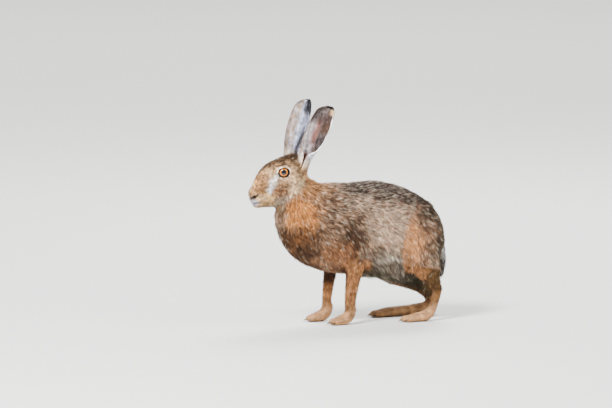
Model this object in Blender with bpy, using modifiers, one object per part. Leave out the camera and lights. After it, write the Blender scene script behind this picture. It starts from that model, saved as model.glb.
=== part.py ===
"""A brown hare standing alert, life size, as a still model.

Metres, +Z up. The hare looks along -X, its left side faces -Y, and it stands on z = 0.
The body is modelled whole, with one smooth surface out to the tips of the coat, and is then
parted by thin cuts into the parts a person would name. Ears, eyes and claws are set on it.
"""

import math

import bmesh
import bpy
from mathutils import Matrix, Vector

# Driving dimensions of the whole animal.
BACK_HEIGHT = 0.253
BELLY_HEIGHT = 0.088
TRUNK_HALF_WIDTH = 0.063
SKULL_HALF_WIDTH = 0.030

# The small gap between neighbouring parts, and the fineness of the two working surfaces.
GAP = 0.0003
VOXEL = 0.0024
SMOOTHING = 10
BODY_SHARE = 0.036
FACE_SHARE = 0.078

# The head is carried turned a little to the hare's right of its body.
HEAD_TURN = math.radians(13)
HEAD_ROOT = Vector((-0.072, 0.0, 0.0))
FORWARD = Vector((-math.cos(HEAD_TURN), math.sin(HEAD_TURN), 0.0))
LEFTWARD = Vector((-math.sin(HEAD_TURN), -math.cos(HEAD_TURN), 0.0))
UP = Vector((0.0, 0.0, 1.0))
ACROSS = Vector((0.0, 1.0, 0.0))

# Eyes, measured in the head: forward of its root, out from its midline, and above the floor.
EYE_FORWARD = 0.0545
EYE_OUT = 0.0205
EYE_HEIGHT = 0.2772
EYE_RADIUS = 0.0108

COLOURS = {
    "coat": (0.30, 0.20, 0.12),
    "leg": (0.45, 0.24, 0.10),
    "ear": (0.42, 0.36, 0.32),
    "tail": (0.20, 0.18, 0.17),
    "eye": (0.55, 0.25, 0.05),
}


def clear_scene():
    for ob in list(bpy.data.objects):
        bpy.data.objects.remove(ob, do_unlink=True)
    part = bpy.data.collections.new("brown_hare")
    bpy.context.scene.collection.children.link(part)
    return part


PART = clear_scene()


def add_object(name, mesh):
    ob = bpy.data.objects.new(name, mesh)
    PART.objects.link(ob)
    return ob


def add_mesh(name, mesh):
    """An object made from an edited mesh, which is then freed."""
    data = bpy.data.meshes.new(name)
    mesh.to_mesh(data)
    mesh.free()
    return add_object(name, data)


def remove(*objects):
    for ob in objects:
        bpy.data.objects.remove(ob, do_unlink=True)


def evaluated(ob, name=None):
    """A new object with the mesh that the modifiers of ob give. ob itself is removed."""
    graph = bpy.context.evaluated_depsgraph_get()
    mesh = bpy.data.meshes.new_from_object(ob.evaluated_get(graph))
    mesh.transform(ob.matrix_world)
    result = add_object(name or ob.name, mesh)
    remove(ob)
    return result


def copy_of(ob, name):
    result = add_object(name, ob.data.copy())
    result.matrix_world = ob.matrix_world
    return result


def in_head(forward, out, height):
    """A point given in the head: forward of its root, out to the left, above the floor."""
    return HEAD_ROOT + FORWARD * forward + LEFTWARD * out + UP * height


def between(rows, steps):
    """Rows of numbers along a smooth curve through the given rows, steps to each span."""
    found = []
    last = len(rows) - 1
    for span in range(last):
        before = rows[max(span - 1, 0)]
        start = rows[span]
        end = rows[span + 1]
        after = rows[min(span + 2, last)]
        for step in range(steps):
            t = step / steps
            row = []
            for a, b, c, d in zip(before, start, end, after):
                bend = 2 * a - 5 * b + 4 * c - d
                rise = 3 * b - a - 3 * c + d
                row.append(0.5 * (2 * b + (c - a) * t + bend * t * t + rise * t ** 3))
            found.append(tuple(row))
    found.append(tuple(rows[last]))
    return found


def loft(name, rings, sides, squareness=2.0, first_cap=1.0, last_cap=1.0):
    """A closed body through rings of (centre, up, side, pear), rounded over at both ends.

    A squareness of 2 gives ellipses, and more gives fuller corners. The caps say how far the
    round ends reach, as a share of the end ring's size.
    """
    first, last = rings[0], rings[-1]
    whole = []
    for angle in (75, 50, 25):
        whole.append(end_ring(first, rings[1], angle, first_cap))
    whole += rings
    for angle in (25, 50, 75):
        whole.append(end_ring(last, rings[-2], angle, last_cap))
    mesh = bmesh.new()
    power = 2 / squareness
    loops = []
    for centre, up, side, pear in whole:
        loop = []
        for k in range(sides):
            angle = math.tau * k / sides
            high = math.copysign(abs(math.sin(angle)) ** power, math.sin(angle))
            wide = math.copysign(abs(math.cos(angle)) ** power, math.cos(angle))
            loop.append(mesh.verts.new(centre + up * high + side * wide * (1 - pear * high)))
        loops.append(loop)
    for lower, upper in zip(loops, loops[1:]):
        for k in range(sides):
            n = (k + 1) % sides
            mesh.faces.new((lower[k], lower[n], upper[n], upper[k]))
    for loop in (loops[0], loops[-1]):
        middle = mesh.verts.new(sum((v.co for v in loop), Vector()) / sides)
        for k in range(sides):
            mesh.faces.new((loop[k], loop[(k + 1) % sides], middle))
    bmesh.ops.recalc_face_normals(mesh, faces=mesh.faces)
    return add_mesh(name, mesh)


def end_ring(ring, inner, angle, cap):
    """A smaller ring beyond an end, so that the body closes in a round cap."""
    centre, up, side, pear = ring
    outward = (centre - inner[0]).normalized()
    reach = cap * min(up.length, side.length) * math.sin(math.radians(angle))
    shrink = math.cos(math.radians(angle))
    return (centre + outward * reach, up * shrink, side * shrink, pear)


def profile_rings(rows, steps, place, side):
    """Rings from rows of top x, top z, bottom x, bottom z, half width, pear."""
    rings = []
    for tx, tz, bx, bz, half_width, pear in between(rows, steps):
        top = place(tx, tz)
        bottom = place(bx, bz)
        rings.append(((top + bottom) / 2, (top - bottom) / 2, side * half_width, pear))
    return rings


def limb_rings(rows, steps, swell=0.0):
    """Rings square to a path, from rows of x, y, z, half depth, half width."""
    path = between(rows, steps)
    rings = []
    for k, (x, y, z, depth, width) in enumerate(path):
        before = Vector(path[max(k - 1, 0)][:3])
        after = Vector(path[min(k + 1, len(path) - 1)][:3])
        along = (after - before).normalized()
        across = (ACROSS - along * ACROSS.dot(along)).normalized()
        up = across.cross(along).normalized()
        rings.append((Vector((x, y, z)), up * (depth + swell), across * (width + swell), 0.0))
    return rings


def ball(name, centre, radii, axes=None, segments=24, count=16):
    """An ellipsoid with its radii along three axes, the world's own if none are given."""
    mesh = bmesh.new()
    bmesh.ops.create_uvsphere(mesh, u_segments=segments, v_segments=count, radius=1.0)
    turn = Matrix(axes).transposed() if axes else Matrix.Identity(3)
    stretch = Matrix.Diagonal(radii)
    bmesh.ops.transform(mesh, matrix=(turn @ stretch).to_4x4(), verts=mesh.verts)
    bmesh.ops.translate(mesh, vec=centre, verts=mesh.verts)
    bmesh.ops.recalc_face_normals(mesh, faces=mesh.faces)
    return add_mesh(name, mesh)


def combine(ob, others, operation):
    """ob with the others joined to it, cut from it or kept in common. The others are removed."""
    tools = bpy.data.collections.new("tools")
    for other in others:
        PART.objects.unlink(other)
        tools.objects.link(other)
    modifier = ob.modifiers.new("combine", "BOOLEAN")
    modifier.operation = operation
    modifier.solver = "EXACT"
    modifier.operand_type = "COLLECTION"
    modifier.collection = tools
    bpy.context.scene.collection.children.link(tools)
    result = evaluated(ob)
    remove(*others)
    bpy.data.collections.remove(tools)
    return result


def largest_shell(ob):
    """Keep only the largest closed surface of an object's mesh."""
    mesh = bmesh.new()
    mesh.from_mesh(ob.data)
    bmesh.ops.remove_doubles(mesh, verts=mesh.verts, dist=0.00002)
    left = set(mesh.verts)
    shells = []
    while left:
        stack = [left.pop()]
        shell = set(stack)
        while stack:
            for edge in stack.pop().link_edges:
                for vert in edge.verts:
                    if vert in left:
                        left.remove(vert)
                        shell.add(vert)
                        stack.append(vert)
        shells.append(shell)
    keep = max(shells, key=len)
    loose = [v for v in mesh.verts if v not in keep]
    bmesh.ops.delete(mesh, geom=loose, context="VERTS")
    mesh.to_mesh(ob.data)
    mesh.free()
    return ob


def fuse(name, pieces, voxel, rounds):
    """Join bodies that cross into one smooth skin."""
    mesh = bmesh.new()
    for piece in pieces:
        mesh.from_mesh(piece.data)
    remove(*pieces)
    ob = add_mesh(name, mesh)
    remesh = ob.modifiers.new("remesh", "REMESH")
    remesh.mode = "VOXEL"
    remesh.voxel_size = voxel
    smooth = ob.modifiers.new("smooth", "SMOOTH")
    smooth.factor = 0.5
    smooth.iterations = rounds
    return largest_shell(evaluated(ob))


def thinned(ob, name, share):
    """A copy of a surface with a share of its triangles."""
    result = copy_of(ob, name)
    fewer = result.modifiers.new("fewer", "DECIMATE")
    fewer.ratio = share
    return evaluated(result, name)


def half_space(cut, side, gap=0.0):
    """A large block on one side of a plane through Y, given as x, z and the angle it faces."""
    x, z, degrees = cut
    size = 0.6
    angle = math.radians(degrees)
    facing = Vector((math.cos(angle), 0.0, math.sin(angle))) * side
    third = facing.cross(ACROSS)
    centre = Vector((x, 0.0, z)) + facing * (size / 2 + gap / 2)
    mesh = bmesh.new()
    bmesh.ops.create_cube(mesh, size=size)
    turn = Matrix((facing, ACROSS, third)).transposed().to_4x4()
    bmesh.ops.transform(mesh, matrix=Matrix.Translation(centre) @ turn, verts=mesh.verts)
    bmesh.ops.recalc_face_normals(mesh, faces=mesh.faces)
    return add_mesh("half_space", mesh)


def floor_block():
    """Everything under the floor."""
    mesh = bmesh.new()
    bmesh.ops.create_cube(mesh, size=1.0)
    bmesh.ops.translate(mesh, vec=(0.0, 0.0, -0.5), verts=mesh.verts)
    return add_mesh("floor_block", mesh)


# The trunk and neck, from the head back: top x, top z, bottom x, bottom z, half width, pear.
TRUNK = [
    (-0.100, 0.288, -0.126, 0.240, 0.025, 0.0),
    (-0.081, 0.269, -0.1375, 0.210, 0.033, 0.0),
    (-0.058, 0.2545, -0.1365, 0.184, 0.043, 0.05),
    (-0.029, BACK_HEIGHT, -0.128, 0.157, 0.050, 0.10),
    (0.000, BACK_HEIGHT - 0.002, -0.111, 0.130, 0.0545, 0.10),
    (0.024, BACK_HEIGHT - 0.001, -0.085, 0.110, 0.0565, 0.10),
    (0.050, BACK_HEIGHT, -0.042, 0.094, 0.057, 0.10),
    (0.074, BACK_HEIGHT - 0.004, 0.006, BELLY_HEIGHT, 0.060, 0.10),
    (0.098, 0.2425, 0.055, 0.084, TRUNK_HALF_WIDTH, 0.08),
    (0.122, 0.2325, 0.096, 0.076, TRUNK_HALF_WIDTH, 0.05),
    (0.145, 0.219, 0.126, 0.080, 0.060, 0.0),
    (0.162, 0.204, 0.148, 0.092, 0.053, 0.0),
    (0.174, 0.186, 0.165, 0.106, 0.042, 0.0),
    (0.180, 0.166, 0.174, 0.124, 0.027, 0.0),
]

# The head in its own plane, from the nape to the nose, in the same order as the trunk.
HEAD = [
    (0.011, 0.294, 0.026, 0.224, 0.026, 0.0),
    (0.027, 0.3065, 0.043, 0.2155, 0.0295, 0.06),
    (0.048, 0.3055, 0.057, 0.213, SKULL_HALF_WIDTH, 0.06),
    (0.067, 0.2985, 0.069, 0.212, 0.0275, 0.04),
    (0.082, 0.2915, 0.080, 0.2115, 0.0235, 0.04),
    (0.0925, 0.2815, 0.089, 0.212, 0.0200, 0.05),
    (0.1000, 0.2690, 0.0965, 0.2135, 0.0187, 0.05),
    (0.1065, 0.2555, 0.1025, 0.218, 0.0172, 0.0),
    (0.1095, 0.2475, 0.1060, 0.225, 0.0140, 0.0),
]

# Limbs as x, y, z, half depth, half width, from the body down to the toes.
FORELEG = [
    (-0.052, -0.030, 0.168, 0.034, 0.022),
    (-0.018, -0.034, 0.132, 0.029, 0.0185),
    (-0.003, -0.035, 0.106, 0.0195, 0.0155),
    (-0.005, -0.035, 0.080, 0.0145, 0.0130),
    (-0.009, -0.035, 0.055, 0.0122, 0.0115),
    (-0.011, -0.035, 0.032, 0.0105, 0.0110),
]
FOREFOOT = [
    (-0.008, -0.035, 0.026, 0.0105, 0.0110),
    (-0.015, -0.035, 0.0125, 0.0115, 0.0125),
    (-0.027, -0.035, 0.0085, 0.0105, 0.0140),
    (-0.036, -0.035, 0.0070, 0.0090, 0.0130),
]
HAUNCH = [
    (0.134, -0.020, 0.198, 0.028, 0.022),
    (0.131, -0.034, 0.174, 0.042, 0.026),
    (0.126, -0.041, 0.144, 0.047, 0.028),
    (0.130, -0.045, 0.114, 0.036, 0.024),
    (0.141, -0.046, 0.090, 0.0235, 0.0185),
    (0.151, -0.046, 0.071, 0.0140, 0.0130),
    (0.1575, -0.046, 0.058, 0.0100, 0.0100),
]
NEAR_FOOT = [
    (0.1590, -0.046, 0.058, 0.0095, 0.0095),
    (0.1555, -0.046, 0.043, 0.0088, 0.0092),
    (0.1495, -0.046, 0.026, 0.0085, 0.0100),
    (0.1390, -0.046, 0.0115, 0.0105, 0.0125),
    (0.1240, -0.046, 0.0078, 0.0100, 0.0140),
    (0.1080, -0.046, 0.0065, 0.0085, 0.0130),
]
FAR_HAUNCH = [
    (0.132, 0.020, 0.198, 0.028, 0.022),
    (0.126, 0.034, 0.172, 0.042, 0.026),
    (0.112, 0.041, 0.140, 0.048, 0.028),
    (0.100, 0.044, 0.110, 0.042, 0.025),
    (0.116, 0.045, 0.088, 0.0310, 0.0205),
    (0.143, 0.046, 0.072, 0.0235, 0.0165),
    (0.169, 0.047, 0.056, 0.0170, 0.0130),
    (0.188, 0.047, 0.038, 0.0125, 0.0110),
]
FAR_HEEL = 0.198
FAR_FOOT = [
    (FAR_HEEL - 0.004, 0.047, 0.026, 0.0115, 0.0105),
    (FAR_HEEL - 0.014, 0.047, 0.0135, 0.0125, 0.0110),
    (FAR_HEEL - 0.040, 0.047, 0.0098, 0.0115, 0.0115),
    (FAR_HEEL - 0.068, 0.047, 0.0085, 0.0105, 0.0130),
    (FAR_HEEL - 0.092, 0.047, 0.0078, 0.0100, 0.0145),
    (FAR_HEEL - 0.108, 0.047, 0.0067, 0.0085, 0.0135),
]
TAIL = [
    (0.156, 0.0, 0.172, 0.012, 0.015),
    (0.170, 0.0, 0.152, 0.012, 0.020),
    (0.1785, 0.0, 0.128, 0.0110, 0.022),
    (0.1835, 0.0, 0.102, 0.0090, 0.018),
    (0.1850, 0.0, 0.084, 0.0060, 0.011),
]

# How the far legs differ in place from the near ones.
FAR_FORE_SHIFT = -0.015
FAR_FORE_SIDE = 0.032
FAR_FORE_SLIMNESS = 0.86


def far_foreleg(rows):
    """The far foreleg stands a little further forward and is a little slimmer."""
    found = []
    for x, y, z, depth, width in rows:
        slim = FAR_FORE_SLIMNESS if z < 0.12 else 1.0
        found.append((x + FAR_FORE_SHIFT, FAR_FORE_SIDE, z, depth * slim, width * slim))
    return found


def far_forefoot(rows):
    return [(x + FAR_FORE_SHIFT, FAR_FORE_SIDE, z, d, w) for x, y, z, d, w in rows]


LIMBS = {
    "foreleg_left": FORELEG,
    "foreleg_right": far_foreleg(FORELEG),
    "forefoot_left": FOREFOOT,
    "forefoot_right": far_forefoot(FOREFOOT),
    "haunch_left": HAUNCH,
    "haunch_right": FAR_HAUNCH,
    "hind_foot_left": NEAR_FOOT,
    "hind_foot_right": FAR_FOOT,
    "tail": TAIL,
}


# The toes: how far out the outer ones lie, the length of the middle ones and the half height.
# Each is an egg that starts inside the foot: its middle and its half length are shares of its
# length, and its half width is a share of the way out.
TOE_COUNT = 4
FORE_TOES = (0.0095, 0.018, 0.0070)
HIND_TOES = (0.0105, 0.026, 0.0075)
OUTER_TOE_SHORTER = 0.28
TOE_MIDDLE = 0.42
TOE_HALF_LENGTH = 0.62
TOE_HALF_WIDTH = 0.44
TOE_DROP = 0.0008

# The claws: their length, the radius at their root and the height they point from.
FORE_CLAW = (0.0065, 0.0014)
HIND_CLAW = (0.0080, 0.0017)
CLAW_HEIGHT = 0.0050
CLAW_SLOPE = math.radians(-112)
CLAW_TIP_SHARE = 0.2
CLAW_SET_IN = 0.02
CLAW_SET_OUT = 0.1


def toe_places(toes):
    """For each toe, its place across the foot and its length."""
    spread, length = toes[:2]
    middle = (TOE_COUNT - 1) / 2
    places = []
    for k in range(TOE_COUNT):
        across = (k - middle) / middle
        places.append((across * spread, length * (1.0 - OUTER_TOE_SHORTER * abs(across))))
    return places


def toe_forms(foot, toes):
    """The toes at the end of a foot, the middle ones longest."""
    x, y, z = LIMBS[foot][-1][:3]
    spread, length, thickness = toes
    found = []
    for out, reach in toe_places(toes):
        centre = Vector((x - reach * TOE_MIDDLE, y + out, z - TOE_DROP))
        radii = (reach * TOE_HALF_LENGTH, spread * TOE_HALF_WIDTH, thickness)
        found.append(ball("toe", centre, radii, segments=12, count=8))
    return found


def claws(foot, toes, size):
    """One claw at the tip of each toe."""
    x, y = LIMBS[foot][-1][:2]
    length, radius = size
    found = []
    for out, reach in toe_places(toes):
        mesh = bmesh.new()
        bmesh.ops.create_cone(
            mesh, cap_ends=True, segments=6, radius1=radius,
            radius2=radius * CLAW_TIP_SHARE, depth=length)
        middle = x - reach * (1 - CLAW_SET_IN) - length * CLAW_SET_OUT
        tip = Vector((middle, y + out, CLAW_HEIGHT))
        place = Matrix.Translation(tip) @ Matrix.Rotation(CLAW_SLOPE, 4, "Y")
        bmesh.ops.transform(mesh, matrix=place, verts=mesh.verts)
        bmesh.ops.recalc_face_normals(mesh, faces=mesh.faces)
        found.append(add_mesh("claw", mesh))
    return found


def head_plane(forward, height):
    return in_head(forward, 0.0, height)


def body_plane(x, z):
    return Vector((x, 0.0, z))


# Forms that stand on the plain head, each as its place forward, out and up in the head, and its
# reach forward, out and up. The paired ones stand on both sides.
HEAD_AXES = (FORWARD, LEFTWARD, UP)
PAIRED_FORMS = {
    "cheek": ((0.040, 0.0165, 0.243), (0.024, 0.0145, 0.024)),
    "brow": ((0.054, 0.0150, 0.2840), (0.024, 0.0120, 0.0095)),
    "eye_mound": ((EYE_FORWARD, 0.0180, EYE_HEIGHT), (0.021, 0.0118, 0.0182)),
    "whisker_pad": ((0.0975, 0.0095, 0.2290), (0.0148, 0.0112, 0.0130)),
}
MIDDLE_FORMS = {
    "nose": ((0.1075, 0.0, 0.2405), (0.0062, 0.0095, 0.0085)),
    "chin": ((0.0965, 0.0, 0.2168), (0.0115, 0.0105, 0.0058)),
}


def head_forms():
    """The cheeks, brows, eye mounds, whisker pads, nose and chin."""
    forms = []
    for name, ((forward, out, height), reach) in PAIRED_FORMS.items():
        for side in (1, -1):
            forms.append(ball(name, in_head(forward, out * side, height), reach, HEAD_AXES))
    for name, (place, reach) in MIDDLE_FORMS.items():
        forms.append(ball(name, in_head(*place), reach, HEAD_AXES))
    return forms


# The muscle of each shoulder, out from the midline on both sides.
SHOULDER = (-0.066, 0.033, 0.176)
SHOULDER_REACH = (0.046, 0.019, 0.056)


# The fineness of the lofts: steps between the rows above, and sides round each form.
STEPS = 3
TRUNK_SIDES = 40
HEAD_SIDES = 36
LIMB_SIDES = 20
TRUNK_SQUARENESS = 2.2
HEAD_SQUARENESS = 2.1

# How far the ends are rounded over: chest end and rump, nape end and nose.
TRUNK_CAPS = (1.0, 0.35)
HEAD_CAPS = (0.35, 0.6)


def whole_animal():
    """The whole coat surface but for the ears, as one closed fine mesh."""
    trunk = profile_rings(TRUNK, STEPS, body_plane, ACROSS)
    head = profile_rings(HEAD, STEPS, head_plane, LEFTWARD)
    pieces = [
        loft("trunk", trunk, TRUNK_SIDES, TRUNK_SQUARENESS, *TRUNK_CAPS),
        loft("head", head, HEAD_SIDES, HEAD_SQUARENESS, *HEAD_CAPS),
    ]
    pieces += head_forms()
    for name, rows in LIMBS.items():
        pieces.append(loft(name, limb_rings(rows, STEPS), LIMB_SIDES))
    for side in ("left", "right"):
        pieces += toe_forms("hind_foot_" + side, HIND_TOES)
        pieces += toe_forms("forefoot_" + side, FORE_TOES)
    x, y, z = SHOULDER
    for out in (y, -y):
        pieces.append(ball("shoulder", Vector((x, out, z)), SHOULDER_REACH))
    return fuse("whole", pieces, VOXEL, SMOOTHING)


# Each ear in the head: forward, out and height of its root and of its tip, and how far its
# middle is carried forward of the straight line between them.
EAR_ROOT = {"left": (0.021, 0.0120, 0.282), "right": (0.038, -0.0110, 0.284)}
EAR_TIP = {"left": (-0.029, 0.030, 0.3945), "right": (0.002, -0.022, 0.4035)}
EAR_SWEEP = {"left": 0.0, "right": 0.0045}
EAR_TURN = math.radians(15)

# The ear from root to tip: place along it, reach to its front edge and to its rear edge, depth
# of the cup, backward bow. The rear edge swells into a lobe just above the narrow base.
EAR = [
    (0.00, 0.0105, 0.0100, 0.0100, 0.0000),
    (0.14, 0.0140, 0.0088, 0.0112, 0.0010),
    (0.26, 0.0172, 0.0096, 0.0124, 0.0022),
    (0.34, 0.0196, 0.0148, 0.0128, 0.0028),
    (0.46, 0.0216, 0.0184, 0.0124, 0.0035),
    (0.62, 0.0226, 0.0194, 0.0108, 0.0035),
    (0.78, 0.0220, 0.0172, 0.0086, 0.0025),
    (0.88, 0.0198, 0.0148, 0.0064, 0.0012),
    (0.95, 0.0126, 0.0120, 0.0046, 0.0004),
    (0.99, 0.0048, 0.0088, 0.0032, 0.0000),
]
EAR_SIDES = 16
EAR_WALL = 0.0026

# The scoop that hollows the cup: where it starts, the share of the cup that it has there, how
# fast it opens, how far it stands out of the ear, and the margin that it leaves at the edges.
CUP_START = 0.22
CUP_FIRST_SHARE = 0.30
CUP_OPENING = 5.0
CUP_STEP = 0.95
CUP_NARROWEST = 0.6
CUP_MARGIN = 0.0004
CUP_SQUARENESS = 2.2


def ear_rings(side, cup):
    """Rings of an ear, or of the scoop that hollows its cup."""
    root = in_head(*EAR_ROOT[side])
    tip = in_head(*EAR_TIP[side])
    along = (tip - root).normalized()
    hand = 1 if side == "left" else -1
    opening = LEFTWARD * hand * math.cos(EAR_TURN) + FORWARD * math.sin(EAR_TURN)
    opening = (opening - along * opening.dot(along)).normalized()
    to_front = along.cross(opening) * -hand
    rings = []
    for place, front, rear, depth, bow in between(EAR, 2):
        sweep = EAR_SWEEP[side] * math.sin(math.pi * min(place, 1.0))
        centre = root.lerp(tip, place) - opening * bow + to_front * (sweep + (front - rear) / 2)
        half_width = (front + rear) / 2
        if cup:
            if place < CUP_START:
                continue
            share = min(1.0, CUP_FIRST_SHARE + (place - CUP_START) * CUP_OPENING)
            step = depth * CUP_STEP
            centre = centre + opening * step
            depth = (depth + step - EAR_WALL) * share
            narrowing = CUP_NARROWEST + (1 - CUP_NARROWEST) * share
            half_width = (half_width - CUP_MARGIN) * narrowing
        rings.append((centre, opening * depth, to_front * half_width, 0.0))
    return rings


def make_ear(side, head):
    ear = loft("ear_" + side, ear_rings(side, False), EAR_SIDES)
    scoop = loft("scoop", ear_rings(side, True), EAR_SIDES, CUP_SQUARENESS)
    ear = combine(ear, [scoop], "DIFFERENCE")
    ear = combine(ear, [swollen(head, GAP)], "DIFFERENCE")
    return largest_shell(ear)


def swollen(ob, distance):
    """A copy whose surface stands off by a small distance."""
    result = copy_of(ob, "swollen")
    swell = result.modifiers.new("swell", "DISPLACE")
    swell.strength = distance
    swell.mid_level = 0.0
    return evaluated(result)


def eyeball(name, side, radius):
    """The ball of an eye, or of the socket that it lies in, with the same facets."""
    centre = in_head(EYE_FORWARD, EYE_OUT * side, EYE_HEIGHT)
    return ball(name, centre, (radius,) * 3, (FORWARD, UP, LEFTWARD), 18, 10)


# The rim of the lids: out from the midline, half its length and height, and its half thickness.
LID_OUT = 0.0278
LID_LENGTH = 0.0092
LID_HEIGHT = 0.0080
LID_THICKNESS = 0.0020
LID_WIDTH_SHARE = 0.15


def lid_ring(side):
    """The rims of the upper and lower lid round one eye."""
    bpy.ops.mesh.primitive_torus_add(
        major_segments=22, minor_segments=6, major_radius=1.0, minor_radius=LID_WIDTH_SHARE)
    ring = bpy.context.active_object
    for collection in list(ring.users_collection):
        collection.objects.unlink(ring)
    PART.objects.link(ring)
    centre = in_head(EYE_FORWARD, LID_OUT * side, EYE_HEIGHT)
    axes = Matrix((FORWARD, UP, LEFTWARD)).transposed()
    stretch = Matrix.Diagonal((LID_LENGTH, LID_HEIGHT, LID_THICKNESS / LID_WIDTH_SHARE))
    ring.data.transform(Matrix.Translation(centre) @ (axes @ stretch).to_4x4())
    mesh = bmesh.new()
    mesh.from_mesh(ring.data)
    bmesh.ops.recalc_face_normals(mesh, faces=mesh.faces)
    mesh.to_mesh(ring.data)
    mesh.free()
    return ring


# Openings of the face as thin lenses: the place of each in the head, and its reach along,
# across and through. The nostril slits run back and up from the nose, the mouth lies level.
NOSTRIL = ((0.1080, 0.0115, 0.2345), (0.0072, 0.0065, 0.0011))
NOSTRIL_DIRECTION = (0.84, -0.54)
CLEFT = ((0.1108, 0.0, 0.2285), (0.0046, 0.0008, 0.0070))
MOUTH = ((0.0945, 0.0, 0.2228), (0.0190, 0.0185, 0.0010))


def face_cutters():
    """The two nostril slits, the cleft of the upper lip and the line of the mouth."""
    forward, down = NOSTRIL_DIRECTION
    slope = (FORWARD * forward + UP * down).normalized()
    (place, out, height), reach = NOSTRIL
    cutters = []
    for side in (1, -1):
        outward = LEFTWARD * side
        axes = (slope, outward, slope.cross(outward))
        cutters.append(ball("nostril", in_head(place, out * side, height), reach, axes, 12, 8))
    cutters.append(ball("cleft", in_head(*CLEFT[0]), CLEFT[1], HEAD_AXES, 10, 8))
    cutters.append(ball("mouth", in_head(*MOUTH[0]), MOUTH[1], HEAD_AXES, 20, 8))
    return cutters


# Where parts meet: planes through Y, as x, z and the direction they face in degrees.
HEAD_CUT = (-0.108, 0.246, 132)
NECK_CUT = (-0.086, 0.207, 130)
WRIST_CUT = {"left": (-0.012, 0.030, 92), "right": (-0.027, 0.030, 92)}
KNEE_CUT = {"left": (0.136, 0.102, 78), "right": (0.122, 0.088, 148)}
HOCK_CUT = {"left": (0.1575, 0.056, 80), "right": (0.190, 0.0340, 92)}

# The room a leg takes: how far its node reaches beyond its path, and where it starts.
FORELEG_ROOM = 0.0075
FORELEG_TOP = 0.112
FORELEG_TOP_MORE = 0.0035
HAUNCH_ROOM = 0.0065
HAUNCH_OUT = 0.012
MIDLINE_ROOM = 0.002
TAIL_ROOM = 0.0035
REGION_SIDES = 24
REGION_SQUARENESS = 2.4
REGION_VOXEL = 0.0035
REGION_SMOOTHING = 3
REGION_SHARE = 0.042


def toe_room(foot, length, depth, width):
    """One more row beyond a foot's last one, that takes in its toes."""
    x, y, z = LIMBS[foot][-1][:3]
    return (x - length, y, z + 0.001, depth, width)


def foreleg_room(side):
    """The path of the space that belongs to a foreleg, below the chest."""
    rows = LIMBS["foreleg_" + side]
    foot = "forefoot_" + side
    x, y, z, depth, width = rows[2]
    top = (x, y, FORELEG_TOP, depth + FORELEG_TOP_MORE, width + FORELEG_TOP_MORE)
    return [top] + rows[3:-1] + LIMBS[foot][:-1] + [toe_room(foot, 0.012, 0.012, 0.016)]


def haunch_room(side):
    """The path of the space of a hind leg: wider outwards than the leg, off the midline."""
    foot = "hind_foot_" + side
    rows = []
    for x, y, z, depth, width in LIMBS["haunch_" + side][:-1]:
        inner = max(abs(y) - width, HAUNCH_ROOM + MIDLINE_ROOM)
        outer = abs(y) + width + HAUNCH_OUT
        rows.append((x, math.copysign((inner + outer) / 2, y), z, depth, (outer - inner) / 2))
    return rows + LIMBS[foot][1:-1] + [toe_room(foot, 0.016, 0.012, 0.018)]


def limb_region(rows, room):
    """The space that belongs to a limb, a wider body round a path."""
    around = loft("region", limb_rings(rows, STEPS, room), REGION_SIDES, REGION_SQUARENESS)
    around = fuse("region", [around], REGION_VOXEL, REGION_SMOOTHING)
    region = thinned(around, "region", REGION_SHARE)
    remove(around)
    return region


def paint(ob, kind):
    material = bpy.data.materials.get(kind) or bpy.data.materials.new(kind)
    material.use_nodes = True
    shader = material.node_tree.nodes["Principled BSDF"]
    shader.inputs["Base Color"].default_value = COLOURS[kind] + (1.0,)
    shader.inputs["Roughness"].default_value = 0.25 if kind == "eye" else 0.85
    ob.data.materials.clear()
    ob.data.materials.append(material)


def finish(ob, name, kind):
    ob = largest_shell(ob)
    ob.name = name
    ob.data.name = name
    paint(ob, kind)
    return ob


def part_of(source, *tools):
    """A copy of a surface cut down by several tools, each a body to keep in common."""
    piece = copy_of(source, "piece")
    for tool in tools:
        piece = combine(piece, [tool], "INTERSECT")
    return piece


def make_head(fine):
    head = part_of(fine, half_space(HEAD_CUT, 1, GAP))
    head = combine(head, [lid_ring(1), lid_ring(-1)], "UNION")
    sockets = [eyeball("socket", side, EYE_RADIUS + GAP) for side in (1, -1)]
    head = combine(head, sockets + face_cutters(), "DIFFERENCE")
    return finish(head, "head", "coat")


def make_legs(coarse, fine, regions):
    """Each leg in its parts: the upper ones from the coarse surface, the feet from the fine."""
    for side in ("left", "right"):
        room = regions["foreleg_" + side]
        wrist = WRIST_CUT[side]
        leg = part_of(coarse, copy_of(room, "room"), half_space(wrist, 1, GAP))
        finish(leg, "foreleg_" + side, "leg")
        foot = part_of(fine, copy_of(room, "room"), half_space(wrist, -1, GAP))
        foot = combine(foot, claws("forefoot_" + side, FORE_TOES, FORE_CLAW), "UNION")
        finish(foot, "forefoot_" + side, "leg")

        room = regions["haunch_" + side]
        knee = KNEE_CUT[side]
        hock = HOCK_CUT[side]
        thigh = part_of(coarse, copy_of(room, "room"), half_space(knee, 1, GAP))
        thigh = combine(thigh, [swollen(regions["tail"], GAP)], "DIFFERENCE")
        finish(thigh, "thigh_" + side, "coat")
        shank = part_of(
            coarse, copy_of(room, "room"), half_space(knee, -1, GAP), half_space(hock, 1, GAP))
        shank = combine(shank, [swollen(regions["tail"], GAP)], "DIFFERENCE")
        finish(shank, "shank_" + side, "leg")
        foot = part_of(fine, copy_of(room, "room"), half_space(hock, -1, GAP))
        foot = combine(foot, claws("hind_foot_" + side, HIND_TOES, HIND_CLAW), "UNION")
        finish(foot, "hind_foot_" + side, "leg")


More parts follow.
